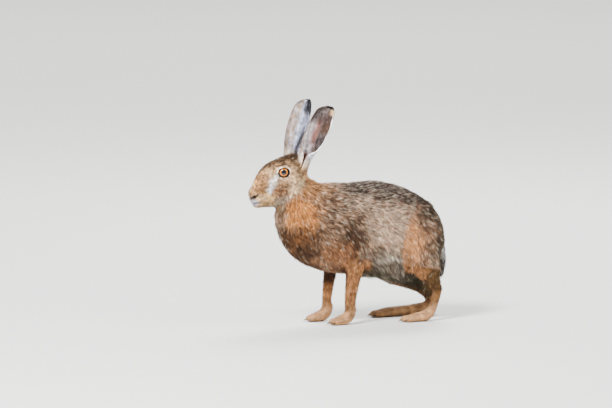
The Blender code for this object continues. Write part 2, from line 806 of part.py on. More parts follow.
def stand_at_origin():
    """Move every part so that the box round them all stands centred on the origin."""
    corners = [ob.matrix_world @ v.co for ob in PART.objects for v in ob.data.vertices]
    low = [min(c[k] for c in corners) for k in range(3)]
    high = [max(c[k] for c in corners) for k in range(3)]
    shift = Matrix.Translation((-(low[0] + high[0]) / 2, -(low[1] + high[1]) / 2, -low[2]))
    for ob in PART.objects:
        ob.data.transform(shift)
    print("moved by", [round(v, 5) for v in shift.translation])


def main():
    whole = whole_animal()
    whole = combine(whole, [floor_block()], "DIFFERENCE")
    coarse = thinned(whole, "coarse", BODY_SHARE)
    fine = thinned(whole, "fine", FACE_SHARE)
    remove(whole)
    head = make_head(fine)
    for side in ("left", "right"):
        finish(make_ear(side, head), "ear_" + side, "ear")
    for name, side in (("eye_left", 1), ("eye_right", -1)):
        finish(eyeball(name, side, EYE_RADIUS), name, "eye")
    regions = {"tail": limb_region(TAIL, TAIL_ROOM)}
    for side in ("left", "right"):
        regions["foreleg_" + side] = limb_region(foreleg_room(side), FORELEG_ROOM)
        regions["haunch_" + side] = limb_region(haunch_room(side), HAUNCH_ROOM)
    make_legs(coarse, fine, regions)
    finish(part_of(coarse, copy_of(regions["tail"], "region")), "tail", "tail")
    neck = part_of(coarse, half_space(HEAD_CUT, -1, GAP), half_space(NECK_CUT, 1, GAP))
    finish(neck, "neck", "coat")
    torso = part_of(coarse, half_space(NECK_CUT, -1, GAP))
    for region in regions.values():
        torso = combine(torso, [swollen(region, GAP)], "DIFFERENCE")
    finish(torso, "torso", "coat")
    remove(coarse, fine, *regions.values())
    stand_at_origin()


main()
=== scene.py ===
# %% [markdown]
# # Dressing a brown hare
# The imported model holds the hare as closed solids: head, neck, torso, ears, eyes, tail and the
# parts of each leg, all out to the tips of the coat. Here they are dressed as a life-size display
# model: one skin without seams, a coat of short tufts in the hare's own markings, amber eyes with
# lids, claws and whiskers.

# %% Load the frame
import math

import bmesh
import bpy
import numpy as np
from mathutils import Matrix, Vector
from mathutils.bvhtree import BVHTree
from mathutils.kdtree import KDTree


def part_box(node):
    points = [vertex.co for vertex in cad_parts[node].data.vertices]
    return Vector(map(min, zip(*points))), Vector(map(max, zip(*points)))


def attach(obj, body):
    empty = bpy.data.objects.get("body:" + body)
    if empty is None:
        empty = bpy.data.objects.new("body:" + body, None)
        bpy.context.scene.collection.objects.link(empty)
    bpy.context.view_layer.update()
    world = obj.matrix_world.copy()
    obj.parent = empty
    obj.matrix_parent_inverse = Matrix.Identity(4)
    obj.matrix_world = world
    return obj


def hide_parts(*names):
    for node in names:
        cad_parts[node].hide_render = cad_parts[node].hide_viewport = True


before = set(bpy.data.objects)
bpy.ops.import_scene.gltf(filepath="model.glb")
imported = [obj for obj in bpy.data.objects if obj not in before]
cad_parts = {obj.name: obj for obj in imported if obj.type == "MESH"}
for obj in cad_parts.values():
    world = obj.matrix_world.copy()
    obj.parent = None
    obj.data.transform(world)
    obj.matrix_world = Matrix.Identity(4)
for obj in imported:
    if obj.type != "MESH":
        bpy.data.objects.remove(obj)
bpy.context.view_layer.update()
bpy.ops.object.select_all(action="DESELECT")

# %% [markdown]
# The hare looks along -X and its left side faces -Y, but its head is turned a little. A second
# set of axes that lies in the head makes the face easy to measure. The eyes give it: the line
# between them runs across the head, and forward is level and square to that line.

# %% Axes of the head
EYE_FORWARD = 0.0545
UP = Vector((0.0, 0.0, 1.0))


def middle(node):
    low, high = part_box(node)
    return (low + high) / 2


EYES = {side: middle("eye_" + side) for side in ("left", "right")}
LEFTWARD = (EYES["left"] - EYES["right"]).normalized()
FORWARD = LEFTWARD.cross(UP)
HEAD_ROOT = (EYES["left"] + EYES["right"]) / 2 - FORWARD * EYE_FORWARD
HEAD_ROOT.z = 0.0
SIDES = {"left": 1.0, "right": -1.0}


def in_head(forward, out, height):
    """A point given in the head: forward of its root, out to the left, above the floor."""
    return HEAD_ROOT + FORWARD * forward + LEFTWARD * out + UP * height


def head_places(points):
    """Forward, out and height in the head, for an array of points."""
    away = points - np.array(HEAD_ROOT)
    return away @ np.array(FORWARD), away @ np.array(LEFTWARD), points[:, 2]


print("head turned", round(math.degrees(math.atan2(FORWARD.y, -FORWARD.x)), 1), "degrees")

# %% [markdown]
# Two small shapes of curve do all the blending below: a step with soft ends, and a round spot
# that fades out. Noise made of a few waves in fixed random directions gives slow, smooth change
# over the body, the same in each run. Such rules could be painted by hand instead, but a rule is
# easy to read, to move and to use again.

# %% Soft steps, spots and waves


def fade(value, low, high):
    """0 at low and 1 at high, with soft ends."""
    share = np.clip((value - low) / (high - low), 0.0, 1.0)
    return share * share * (3 - 2 * share)


def spot(offset, reach):
    """1 where the offset is 0, fading out within about twice the reach."""
    return np.exp(-(offset / reach) ** 2)


def patch(across, along, centre, reach):
    """A soft oval round a centre, with its reach both ways."""
    return spot(np.hypot((across - centre[0]) / reach[0], (along - centre[1]) / reach[1]), 1.0)


def waves(points, size, seed, count=7):
    """Smooth noise between about -1 and 1, with hills about one size across."""
    draw = np.random.default_rng(seed)
    total = np.zeros(len(points))
    for _ in range(count):
        direction = draw.normal(size=3)
        direction *= math.tau / (2 * size * np.linalg.norm(direction)) * draw.uniform(0.7, 1.4)
        total += np.sin(points @ direction + draw.uniform(0, math.tau))
    return total / math.sqrt(count)


print("half a step", float(fade(0.5, 0.0, 1.0)), "spot at its reach", round(float(spot(1.0, 1.0)), 3))

# %% [markdown]
# The skin starts as copies of the flesh solids. They are joined and wrapped by a voxel remesh,
# which closes the thin cuts between them, and then smoothed, which takes the facets away. A
# remesh suits this better than sculpting anew, because the outline stays where the frame has it.

# %% One skin from the flesh solids
FLESH = [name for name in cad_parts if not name.startswith(("eye", "ear"))]
SKIN_VOXEL = 0.0017
MERGE_DISTANCE = 0.00001
SMOOTH_ROUNDS = 8


def only(piece):
    """Select one object alone and make it active, as operators expect."""
    bpy.ops.object.select_all(action="DESELECT")
    piece.select_set(True)
    bpy.context.view_layer.objects.active = piece


def apply_all(piece):
    only(piece)
    for modifier in list(piece.modifiers):
        bpy.ops.object.modifier_apply(modifier=modifier.name)


def new_object(name, data):
    piece = bpy.data.objects.new(name, data)
    bpy.context.scene.collection.objects.link(piece)
    return piece


def object_from(mesh, name):
    """A new object in the scene from an edit mesh, which is freed."""
    piece = new_object(name, bpy.data.meshes.new(name))
    mesh.to_mesh(piece.data)
    mesh.free()
    return piece


def keep_largest(piece):
    """Delete every closed surface of a mesh but the largest, and count what there was."""
    mesh = bmesh.new()
    mesh.from_mesh(piece.data)
    left = set(mesh.verts)
    shells = []
    while left:
        stack = [left.pop()]
        shell = set(stack)
        while stack:
            for edge in stack.pop().link_edges:
                for vert in edge.verts:
                    if vert in left:
                        left.remove(vert)
                        shell.add(vert)
                        stack.append(vert)
        shells.append(shell)
    largest = max(shells, key=len)
    bmesh.ops.delete(mesh, geom=[v for v in mesh.verts if v not in largest], context="VERTS")
    mesh.to_mesh(piece.data)
    mesh.free()
    return len(shells)


joined = bmesh.new()
for name in FLESH:
    joined.from_mesh(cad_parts[name].data)
bmesh.ops.remove_doubles(joined, verts=joined.verts, dist=MERGE_DISTANCE)
skin = object_from(joined, "skin")
remesh = skin.modifiers.new("wrap", "REMESH")
remesh.mode = "VOXEL"
remesh.voxel_size = SKIN_VOXEL
smooth = skin.modifiers.new("smooth", "SMOOTH")
smooth.factor = 0.5
smooth.iterations = SMOOTH_ROUNDS
apply_all(skin)
shells = keep_largest(skin)
print("shells", shells, "skin faces", len(skin.data.polygons))

# %% [markdown]
# Each point of the skin then learns which part of the body it lies on, from the nearest solid.
# The parts say how deep the coat is, how long and wide its tufts are and how far they stand up.
# These numbers are then spread over the mesh, so that nothing changes with a step. Weights could
# be brushed on by hand, but the solids already say where each part ends.

# %% Which part each point lies on


def kind_of(name):
    """A solid's name without its side."""
    return name.removesuffix("_left").removesuffix("_right")


PARTS = sorted({kind_of(name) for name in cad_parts})


def part_of(name):
    return PARTS.index(kind_of(name))


def nearest_parts(mesh, names):
    """The part of the nearest of some solids, for each point of a mesh."""
    points, faces, owners = [], [], []
    for name in names:
        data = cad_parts[name].data
        start = len(points)
        points += [v.co[:] for v in data.vertices]
        for face in data.polygons:
            faces.append([start + k for k in face.vertices])
            owners.append(part_of(name))
    tree = BVHTree.FromPolygons(points, faces)
    return np.array([owners[tree.find_nearest(v.co)[2]] for v in mesh.vertices])


def read_rows(items, key, width, kind=float):
    """What Blender keeps of each item of a mesh, as an array with a row for each."""
    found = np.empty(len(items) * width, kind)
    items.foreach_get(key, found)
    return found.reshape(-1, width)


def coordinates(mesh):
    return read_rows(mesh.vertices, "co", 3)


def vertex_normals(mesh):
    return read_rows(mesh.vertex_normals, "vector", 3)


def edge_ends(mesh):
    return read_rows(mesh.edges, "vertices", 2, int)


label = nearest_parts(skin.data, FLESH)
for k, part in enumerate(PARTS):
    print(part, int((label == k).sum()), "points")

# %% Coat depth, spread smoothly
COAT_DEPTH = {
    "head": 0.0013, "neck": 0.0029, "torso": 0.0029, "thigh": 0.0026, "shank": 0.0017,
    "hind_foot": 0.0012, "foreleg": 0.0017, "forefoot": 0.0011, "tail": 0.0028, "ear": 0.0005,
    "eye": 0.0005,
}
DEPTH_ROUNDS = 40
THIN_ON_MUZZLE = 0.45


def spread(values, ends, rounds):
    """Each value moved half way to the mean of its neighbours, some rounds over."""
    count = len(values)
    either = np.concatenate([ends[:, 0], ends[:, 1]])
    other = np.concatenate([ends[:, 1], ends[:, 0]])
    degree = np.maximum(np.bincount(either, minlength=count), 1)
    columns = values.reshape(count, -1).T.copy()
    for _ in range(rounds):
        for column in columns:
            around = np.bincount(either, weights=column[other], minlength=count) / degree
            column += 0.5 * (around - column)
    return columns.T.reshape(values.shape)


def by_part(table, labels):
    """What a table says of each point's part."""
    return np.array([table[part] for part in PARTS])[labels]


def move_points(mesh, places):
    mesh.vertices.foreach_set("co", places.ravel())
    mesh.update()


ends = edge_ends(skin.data)
depth = spread(by_part(COAT_DEPTH, label), ends, DEPTH_ROUNDS)
places = coordinates(skin.data)
on_muzzle = (label == part_of("head")) * fade(head_places(places)[0], 0.075, 0.100)
depth *= 1 - THIN_ON_MUZZLE * on_muzzle
places -= vertex_normals(skin.data) * depth[:, None]
move_points(skin.data, places)
print("coat depth mm", round(depth.min() * 1000, 2), "to", round(depth.max() * 1000, 2))

# %% [markdown]
# The face is where people look first, so its part of the mesh is made finer: its faces are
# picked by place and subdivided. The feet are made finer in the same way.

# %% A finer mesh on the face and feet


def subdivide_where(piece, chosen):
    """Subdivide the faces whose middle a rule chooses."""
    only(piece)
    bpy.ops.object.mode_set(mode="EDIT")
    mesh = bmesh.from_edit_mesh(piece.data)
    for face in mesh.faces:
        face.select_set(chosen(face.calc_center_median()))
    mesh.select_flush_mode()
    bmesh.update_edit_mesh(piece.data)
    bpy.ops.mesh.subdivide(number_cuts=1, smoothness=0.0)
    bpy.ops.object.mode_set(mode="OBJECT")


def near_muzzle_or_eye(centre):
    forward = (centre - HEAD_ROOT).dot(FORWARD)
    if centre.z < 0.2 or forward < 0.03:
        return False
    near_eye = min((centre - EYES[side]).length for side in EYES) < 0.019
    return forward > 0.088 or near_eye


def on_foot(centre):
    return centre.z < 0.012


subdivide_where(skin, near_muzzle_or_eye)
subdivide_where(skin, on_foot)
print("skin faces", len(skin.data.polygons))

# %% [markdown]
# The nostrils are two slanting slits, with a cleft below them that splits the upper lip, and the mouth
# is a line. They could be carved with a sculpting brush. Here each is pressed in by the distance from a
# line, which gives the same groove in each run, and the same lines are used again to paint shade into
# the grooves. The skin is pressed in between the toes too, and beneath each eyeball.

# %% Grooves of the face and feet
NOSTRIL = ((0.1140, 0.2285), (0.1000, 0.2372))
NOSTRIL_DEPTH = 0.0026
MOUTH_HEIGHT = 0.2228
MOUTH_DEPTH = 0.0016
TOE_GROOVE_DEPTH = 0.0018
TOES_BACK = 0.030
LID_REACH = (0.0098, 0.0088)
EYE_BED = 0.004
NOT_NEAR = 99.0
SOLE_GAP = 0.0002
FEET = ("forefoot_left", "forefoot_right", "hind_foot_left", "hind_foot_right")
TOE_STEP = {"forefoot": 0.0063, "hind_foot": 0.0070}


def line_distance(across, along, start, end):
    """How far points lie from a straight stretch, in a plane."""
    step = (end[0] - start[0], end[1] - start[1])
    square = step[0] ** 2 + step[1] ** 2
    share = ((across - start[0]) * step[0] + (along - start[1]) * step[1]) / square
    share = np.clip(share, 0.0, 1.0)
    return np.hypot(across - start[0] - share * step[0], along - start[1] - share * step[1])


def groove_depth(points):
    """How deep the grooves of the face and feet are at each point."""
    forward, out, height = head_places(points)
    face = fade(forward, 0.080, 0.090) * (height > 0.2)
    nostril = NOSTRIL_DEPTH * spot(line_distance(forward, height, *NOSTRIL), 0.0011)
    nostril = nostril * fade(np.abs(out), 0.0030, 0.0050)
    mouth = MOUTH_DEPTH * spot(height - MOUTH_HEIGHT, 0.0010) * fade(forward, 0.086, 0.094)
    cleft = MOUTH_DEPTH * spot(out, 0.0009) * fade(forward, 0.104, 0.108)
    cleft = cleft * fade(height, MOUTH_HEIGHT, MOUTH_HEIGHT + 0.002) * fade(0.2365 - height, 0.0, 0.002)
    total = np.maximum(np.maximum(nostril, mouth), cleft) * face
    for foot in FEET:
        low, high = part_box(foot)
        step = TOE_STEP[kind_of(foot)]
        centre = (low.y + high.y) / 2
        reach = fade(low.x + TOES_BACK - points[:, 0], 0.0, 0.010) * (points[:, 2] < 0.022)
        reach = reach * (np.abs(points[:, 1] - centre) < 0.02) * fade(points[:, 2], 0.0015, 0.004)
        for k in (-1, 0, 1):
            between_toes = spot(points[:, 1] - centre - k * step, 0.0012)
            total = np.maximum(total, TOE_GROOVE_DEPTH * between_toes * reach)
    return total


def eye_offset(points, side):
    """Forward and up from an eye's centre, in the head, and how far round its lids that is."""
    away = points - np.array(EYES[side])
    forward = away @ np.array(FORWARD)
    up = away[:, 2]
    near = (away @ np.array(LEFTWARD)) * SIDES[side] > -0.004
    ring = np.hypot(forward / LID_REACH[0], up / LID_REACH[1])
    return forward, up, np.where(near, ring, NOT_NEAR)


places = coordinates(skin.data)
places -= vertex_normals(skin.data) * groove_depth(places)[:, None]
for side, sign in SIDES.items():
    ring = eye_offset(places, side)[2]
    under = (1 - fade(ring, 0.95, 1.25))[:, None]
    target = np.array(EYES[side]) + EYE_BED * sign * np.array(LEFTWARD)
    outward = ((places - target) @ np.array(LEFTWARD))[:, None] * np.array(LEFTWARD)
    places -= outward * under * (outward @ np.array(LEFTWARD) * sign > 0)[:, None]
places[:, 2] = np.maximum(places[:, 2], SOLE_GAP)
move_points(skin.data, places)
print("deepest groove mm", round(groove_depth(places).max() * 1000, 2))

# %% [markdown]
# A hare's ear is a thin shell: rolled into a tube with a slit at its root, open like a scoop
# along its length, with a lobe low on its rear edge, a long fold inside and a point at the tip.
# It is modelled as a curved sheet from a few stations along the ear, given its wall by Solidify,
# and joined to the skin by a Boolean union with its root sunk in the head, so no seam shows.

# %% The two ears
EAR_ROOT = {"left": (0.021, 0.0120, 0.282), "right": (0.038, -0.0110, 0.284)}
EAR_TIP = {"left": (-0.029, 0.030, 0.3945), "right": (0.002, -0.022, 0.4035)}
EAR_SWEEP = {"left": 0.0, "right": 0.0045}
EAR_TURN = math.radians(15)
EAR_WALL = 0.0014
EAR_STEPS = 6
EAR_ROUND = 44
FOLD_ANGLE = -34.0
FOLD_WIDTH = 15.0
FOLD_HEIGHT = 0.0022

# The ear from root to tip: place along it, reach to its front and to its rear edge, depth of the
# cup, backward bow, and how far the wall curls round in front and behind, in degrees.
EAR = [
    (0.000, 0.0104, 0.0120, 0.0095, 0.0000, 174, 174),
    (0.140, 0.0138, 0.0112, 0.0106, 0.0010, 171, 172),
    (0.220, 0.0158, 0.0114, 0.0114, 0.0018, 160, 168),
    (0.275, 0.0172, 0.0122, 0.0120, 0.0024, 140, 144),
    (0.335, 0.0189, 0.0148, 0.0124, 0.0028, 125, 116),
    (0.460, 0.0210, 0.0178, 0.0120, 0.0035, 114, 104),
    (0.620, 0.0220, 0.0188, 0.0104, 0.0035, 108, 100),
    (0.780, 0.0214, 0.0166, 0.0082, 0.0025, 104, 97),
    (0.880, 0.0192, 0.0142, 0.0060, 0.0012, 100, 95),
    (0.950, 0.0126, 0.0116, 0.0042, 0.0004, 96, 92),
    (0.990, 0.0046, 0.0084, 0.0028, 0.0000, 90, 90),
    (1.008, -0.0032, 0.0060, 0.0012, 0.0000, 90, 90),
]


def between(rows, steps):
    """Rows of numbers along a smooth curve through the given rows, steps to each span."""
    found = []
    last = len(rows) - 1
    for span in range(last):
        before, start = rows[max(span - 1, 0)], rows[span]
        end, after = rows[span + 1], rows[min(span + 2, last)]
        for step in range(steps):
            t = step / steps
            row = []
            for a, b, c, d in zip(before, start, end, after):
                bend = 2 * a - 5 * b + 4 * c - d
                rise = 3 * b - a - 3 * c + d
                row.append(0.5 * (2 * b + (c - a) * t + bend * t * t + rise * t ** 3))
            found.append(row)
    return found + [list(rows[last])]


EAR_ROWS = between(EAR, EAR_STEPS)


def ear_axes(side):
    """The ear's root and tip, its direction, the way its cup opens and the way to its front."""
    root = in_head(*EAR_ROOT[side])
    tip = in_head(*EAR_TIP[side])
    along = (tip - root).normalized()
    opening = LEFTWARD * SIDES[side] * math.cos(EAR_TURN) + FORWARD * math.sin(EAR_TURN)
    opening = (opening - along * opening.dot(along)).normalized()
    return root, tip, along, opening, along.cross(opening) * -SIDES[side]


def ear_row(side, row):
    """The points round the back of the ear at one station, from its rear edge to its front."""
    root, tip, along, opening, to_front = ear_axes(side)
    place, front, rear, cup, bow, front_curl, rear_curl = row
    sweep = EAR_SWEEP[side] * math.sin(math.pi * min(place, 1.0))
    centre = root.lerp(tip, place) - opening * bow + to_front * (sweep + (front - rear) / 2)
    half_width = (front + rear) / 2
    folded = FOLD_HEIGHT * (1 - float(fade(place, 0.45, 0.80))) * float(fade(place, 0.05, 0.30))
    points = []
    for n in range(EAR_ROUND + 1):
        angle = -rear_curl + (front_curl + rear_curl) * n / EAR_ROUND
        turn = math.radians(angle)
        fold = folded * math.exp(-((angle - FOLD_ANGLE) / FOLD_WIDTH) ** 2)
        point = centre + opening * (fold - cup * math.cos(turn))
        points.append(point + to_front * half_width * math.sin(turn))
    return points


def make_ear(side):
    """One ear: a curved sheet with its normals to the back, then given a wall."""
    mesh = bmesh.new()
    rows = [[mesh.verts.new(point) for point in ear_row(side, row)] for row in EAR_ROWS]
    for lower, upper in zip(rows, rows[1:]):
        for n in range(EAR_ROUND):
            mesh.faces.new((lower[n], lower[n + 1], upper[n + 1], upper[n]))
    bmesh.ops.recalc_face_normals(mesh, faces=mesh.faces)
    behind = -ear_axes(side)[3]
    mesh.faces.ensure_lookup_table()
    middle_face = mesh.faces[EAR_ROUND * (len(rows) // 2) + EAR_ROUND // 2]
    if middle_face.normal.dot(behind) < 0:
        bmesh.ops.reverse_faces(mesh, faces=mesh.faces)
    ear = object_from(mesh, "ear_shell_" + side)
    wall = ear.modifiers.new("wall", "SOLIDIFY")
    wall.thickness = EAR_WALL
    wall.offset = -1.0
    apply_all(ear)
    return ear


ears = {side: make_ear(side) for side in SIDES}
for side, ear in ears.items():
    union = skin.modifiers.new("ear", "BOOLEAN")
    union.operation = "UNION"
    union.solver = "MANIFOLD"
    union.object = ear
    apply_all(skin)
    bpy.data.objects.remove(ear)
print("skin with ears", len(skin.data.polygons), "faces")

# %% [markdown]
# The markings are painted by rule and not by picture. Each zone of the coat is a soft shape on
# the body with a colour, a share of black-tipped tufts and a share of pale-tipped ones, and the
# zones are laid over one another. Skin and tufts read the same rule, so they always agree. An
# image could be painted on the body instead, but it would blur where it is stretched.

# %% Colours of the coat
PAINTS = {
    "buff": (208, 164, 120), "sienna": (232, 152, 84), "rust": (166, 114, 76),
    "umber": (98, 66, 42), "grizzle": (164, 128, 100), "slate": (84, 66, 58),
    "flank": (206, 168, 140), "ash": (116, 100, 86), "white": (252, 248, 244),
    "cream": (244, 228, 204), "black": (20, 16, 15), "tan": (200, 138, 88),
    "nape": (204, 146, 96), "forehead": (80, 54, 36), "cheek": (142, 94, 62),
    "cheek_pale": (240, 200, 156), "jaw": (232, 205, 182), "jaw_shade": (130, 100, 72),
    "gold": (255, 196, 120), "bridge": (206, 150, 96), "side_dark": (62, 40, 26),
    "lip": (184, 188, 202), "ear_back": (212, 220, 250), "ear_edge": (164, 136, 106),
    "ear_inside": (240, 228, 230), "ear_shade": (42, 26, 18), "shaded_pink": (140, 96, 86),
    "vein": (140, 90, 78), "ear_upper": (82, 66, 62), "nose": (90, 74, 70),
    "dark_line": (22, 15, 13), "tail_dark": (58, 52, 52), "shank_back_shade": (102, 75, 38),
    "underside_shade": (70, 63, 44), "foreleg_shade": (86, 52, 28), "rump_dark": (76, 60, 42),
    "ear_strip_shade": (92, 88, 94), "haunch": (228, 160, 108), "ear_base": (214, 194, 176),
    "inner_haunch_shade": (150, 134, 114),
}


def linear(paint):
    """A paint as Blender's shaders count it, with its display curve taken off."""
    share = np.array(PAINTS[paint]) / 255
    return np.where(share <= 0.04045, share / 12.92, ((share + 0.055) / 1.055) ** 2.4)


class Marks:
    """Colour, share of dark tips and share of pale tips, painted in layers over some points."""

    def __init__(self, count, paint, dark, pale):
        self.rows = np.tile(np.append(linear(paint), (dark, pale)), (count, 1))

    def lay(self, mask, paint, dark, pale):
        mask = np.clip(mask, 0.0, 1.0)[:, None]
        self.rows = self.rows * (1 - mask) + np.append(linear(paint), (dark, pale)) * mask

    def lay_ovals(self, across, along, rows, within=1.0):
        """Soft ovals, given by centre, reach, strength, paint and shares of dark and pale tips."""
        for centre, reach, strength, paint, dark, pale in rows:
            self.lay(patch(across, along, centre, reach) * within * strength, paint, dark, pale)


print("paints", len(PAINTS), "and the buff of the face", linear("buff").round(3))

# %% [markdown]
# The trunk is grizzled: slate on the back, paler along the flank, rust at the shoulder, umber on the
# chest and ash on the belly, with an orange patch on the side of the neck. The legs are tan. Shade is
# painted in too: darker umber low on the chest, and dark brown under the belly and on the backs and
# inner sides of the legs. The edges of the zones wander a little, because no zone of a real coat has a
# clean edge.

# %% Markings of the body and legs

# Centre and reach along the body and above the floor, strength, paint, dark and pale tips.
FLANK_OVALS = [
    ((-0.060, 0.205), (0.034, 0.028), 1.0, "grizzle", 0.46, 0.20),
    ((-0.020, 0.162), (0.022, 0.030), 1.4, "side_dark", 0.50, 0.08),
    ((0.030, 0.182), (0.028, 0.020), 1.0, "flank", 0.12, 0.36),
    ((0.062, 0.166), (0.036, 0.022), 1.0, "flank", 0.12, 0.36),
    ((-0.056, 0.136), (0.044, 0.022), 1.2, "rust", 0.24, 0.08),
    ((-0.030, 0.112), (0.026, 0.020), 1.2, "rust", 0.26, 0.03),
    ((-0.018, 0.118), (0.016, 0.014), 0.5, "umber", 0.20, 0.04),
]
UPPER_FLANK = [((0.030, 0.205), (0.040, 0.018), 1.0, "flank", 0.26, 0.34)]
PALE_SADDLE = [((-0.004, 0.222), (0.030, 0.012), 1.0, "flank", 0.22, 0.66)]
BELLY_PALE = [((0.055, 0.124), (0.020, 0.010), 0.8, "cream", 0.14, 0.26)]
NECK_SIDE = [((-0.118, 0.210), (0.024, 0.027), 1.7, "sienna", 0.06, 0.05)]
NAPE = [((-0.092, 0.252), (0.030, 0.018), 1.2, "nape", 0.30, 0.06)]
# Painted shade under the jaw, on the middle of the throat.
THROAT = [((-0.142, 0.214), (0.012, 0.010), 1.0, "jaw_shade", 0.15, 0.10)]
HAUNCH_REAR = [((0.120, 0.150), (0.034, 0.045), 1.0, "grizzle", 0.44, 0.12)]
HAUNCH_FRONT = [((0.090, 0.152), (0.018, 0.036), 1.8, "haunch", 0.03, 0.03)]


def body_marks(marks, points, is_part):
    """Neck and trunk, the same on both sides, and then the legs."""
    x, y, z = points.T
    side = np.abs(y)
    ragged = 0.007 * waves(points, 0.014, 21)
    x = x + ragged
    z = z + 0.6 * ragged
    marks.lay(fade(-x, 0.0, 0.05) * fade(0.235 - z, 0.0, 0.03), "grizzle", 0.44, 0.10)
    marks.lay(fade(x, -0.02, 0.03) * fade(z, 0.12, 0.16), "flank", 0.22, 0.30)
    marks.lay_ovals(x, z, UPPER_FLANK)
    marks.lay(fade(z + 0.12 * side, 0.206, 0.232) * fade(x, -0.08, -0.01), "slate", 0.50, 0.34)
    marks.lay_ovals(x, z, PALE_SADDLE)
    marks.lay(fade(x, 0.075, 0.120) * fade(z, 0.12, 0.19), "slate", 0.72, 0.14)
    marks.lay(fade(x, 0.125, 0.155) * fade(z, 0.10, 0.14), "rump_dark", 0.42, 0.18)
    marks.lay_ovals(x, z, FLANK_OVALS)
    # Painted shade: umber darkens the brown chest front low down and the underside between the
    # forelegs.
    marks.lay(fade(-x, 0.072, 0.104) * fade(0.196 - z, 0.0, 0.03), "umber", 0.30, 0.05)
    marks.lay(fade(0.120 - z, 0.0, 0.02) * fade(-x, 0.04, 0.07), "umber", 0.26, 0.04)
    low = fade(0.150 - z, 0.0, 0.026) * fade(x, -0.025, 0.005) * (1 - fade(x, 0.105, 0.125))
    marks.lay(low, "ash", 0.24, 0.22)
    marks.lay_ovals(x, z, BELLY_PALE)
    # Painted shade: dark brown under the belly.
    marks.lay(low * fade(0.108 - z, 0.0, 0.014), "underside_shade", 0.20, 0.14)
    marks.lay_ovals(x, z, NECK_SIDE, within=fade(side, 0.014, 0.028))
    marks.lay_ovals(x, z, NAPE)
    marks.lay_ovals(x, z, THROAT, within=1 - fade(side, 0.012, 0.022))
    leg_marks(marks, x, y, z, is_part)


def leg_marks(marks, x, y, z, is_part):
    """The haunches, the legs and the tail. The right thigh's inner side is painted grey as shade."""
    side = np.abs(y)
    inner_side = np.where(y > 0, 0.020, 0.0)
    thigh = is_part("thigh") * fade(side - inner_side, 0.022, 0.036)
    marks.lay_ovals(x, z, HAUNCH_REAR, within=thigh)
    marks.lay_ovals(x, z, HAUNCH_FRONT, within=thigh)
    marks.lay(thigh * fade(0.122 - z, 0.0, 0.02) * fade(0.128 - x, 0.0, 0.02), "tan", 0.08, 0.03)
    leg = is_part("foreleg") + is_part("forefoot") + is_part("shank") + is_part("hind_foot")
    marks.lay(leg * fade(0.135 - z, 0.0, 0.03), "tan", 0.20, 0.03)
    marks.lay(leg * fade(0.050 - z, 0.0, 0.03) * 0.6, "buff", 0.20, 0.05)
    # Painted shade: the back of each shank and hock is darker brown.
    hind = is_part("shank") + 0.6 * is_part("hind_foot") * fade(z, 0.020, 0.034)
    marks.lay(hind * fade(x, 0.108, 0.130) * 0.85, "shank_back_shade", 0.30, 0.03)
    # Painted shade: dark brown on the inner side of each shank, between the legs.
    marks.lay(is_part("shank") * fade(0.044 - side, 0.0, 0.012), "underside_shade", 0.20, 0.10)
    # Painted shade: the inner side of the right thigh, below the belly, is grey-brown instead of
    # orange.
    inner_right = is_part("thigh") * fade(y, 0.0, 0.02) * fade(0.052 - y, 0.0, 0.010)
    marks.lay(inner_right * fade(0.130 - z, 0.0, 0.02), "inner_haunch_shade", 0.18, 0.26)
    rear = is_part("thigh") * fade(x, 0.126, 0.150) * fade(z, 0.08, 0.12)
    marks.lay(rear * 0.85, "rump_dark", 0.42, 0.16)
    # Painted shade: each foreleg is dark on its inner side high up, under the chest.
    inner = is_part("foreleg") * fade(0.042 - side, 0.0, 0.010) * fade(z, 0.054, 0.080)
    marks.lay(inner, "foreleg_shade", 0.30, 0.0)
    marks.lay(is_part("tail"), "tail_dark", 0.50, 0.16)
    marks.lay(is_part("tail") * fade(side, 0.014, 0.020), "white", 0.0, 0.30)


print("ovals on the flank", len(FLANK_OVALS))

# %% [markdown]
# The face is buff with a dark, flecked forehead, a brown cheek with a paler one behind it, a golden
# whisker pad and a pale lip that is painted blue-grey as shade. Painted shade also darkens the
# underside of the jaw, the nostrils, the mouth line and the cleft. A white streak runs down from the
# eye, and an uneven cream ring and a dark edge go round it. All of it is laid in the head's own axes,
# so it turns with it.

# %% Markings of the face
CHEEK_OVALS = [
    ((0.058, 0.246), (0.024, 0.014), 1.0, "cheek", 0.34, 0.10),
    ((0.030, 0.250), (0.017, 0.014), 1.2, "cheek_pale", 0.16, 0.20),
    ((0.044, 0.224), (0.028, 0.010), 1.0, "jaw", 0.26, 0.20),
    ((0.010, 0.264), (0.012, 0.020), 1.0, "nape", 0.44, 0.10),
    ((0.088, 0.231), (0.014, 0.010), 1.7, "gold", 0.03, 0.02),
    ((0.096, 0.246), (0.010, 0.007), 0.9, "rust", 0.34, 0.06),
]
BRIDGE = [((0.100, 0.262), (0.018, 0.018), 1.0, "bridge", 0.24, 0.14)]
MUZZLE_OVALS = [
    # The lip is pale; its blue-grey is painted shade under the muzzle.
    ((0.106, 0.2232), (0.0078, 0.0060), 1.3, "lip", 0.06, 0.10),
    ((0.118, 0.2360), (0.0055, 0.0070), 1.0, "nose", 0.30, 0.05),
]
WHITE_STREAK = ((0.070, 0.2690), (0.081, 0.2440))


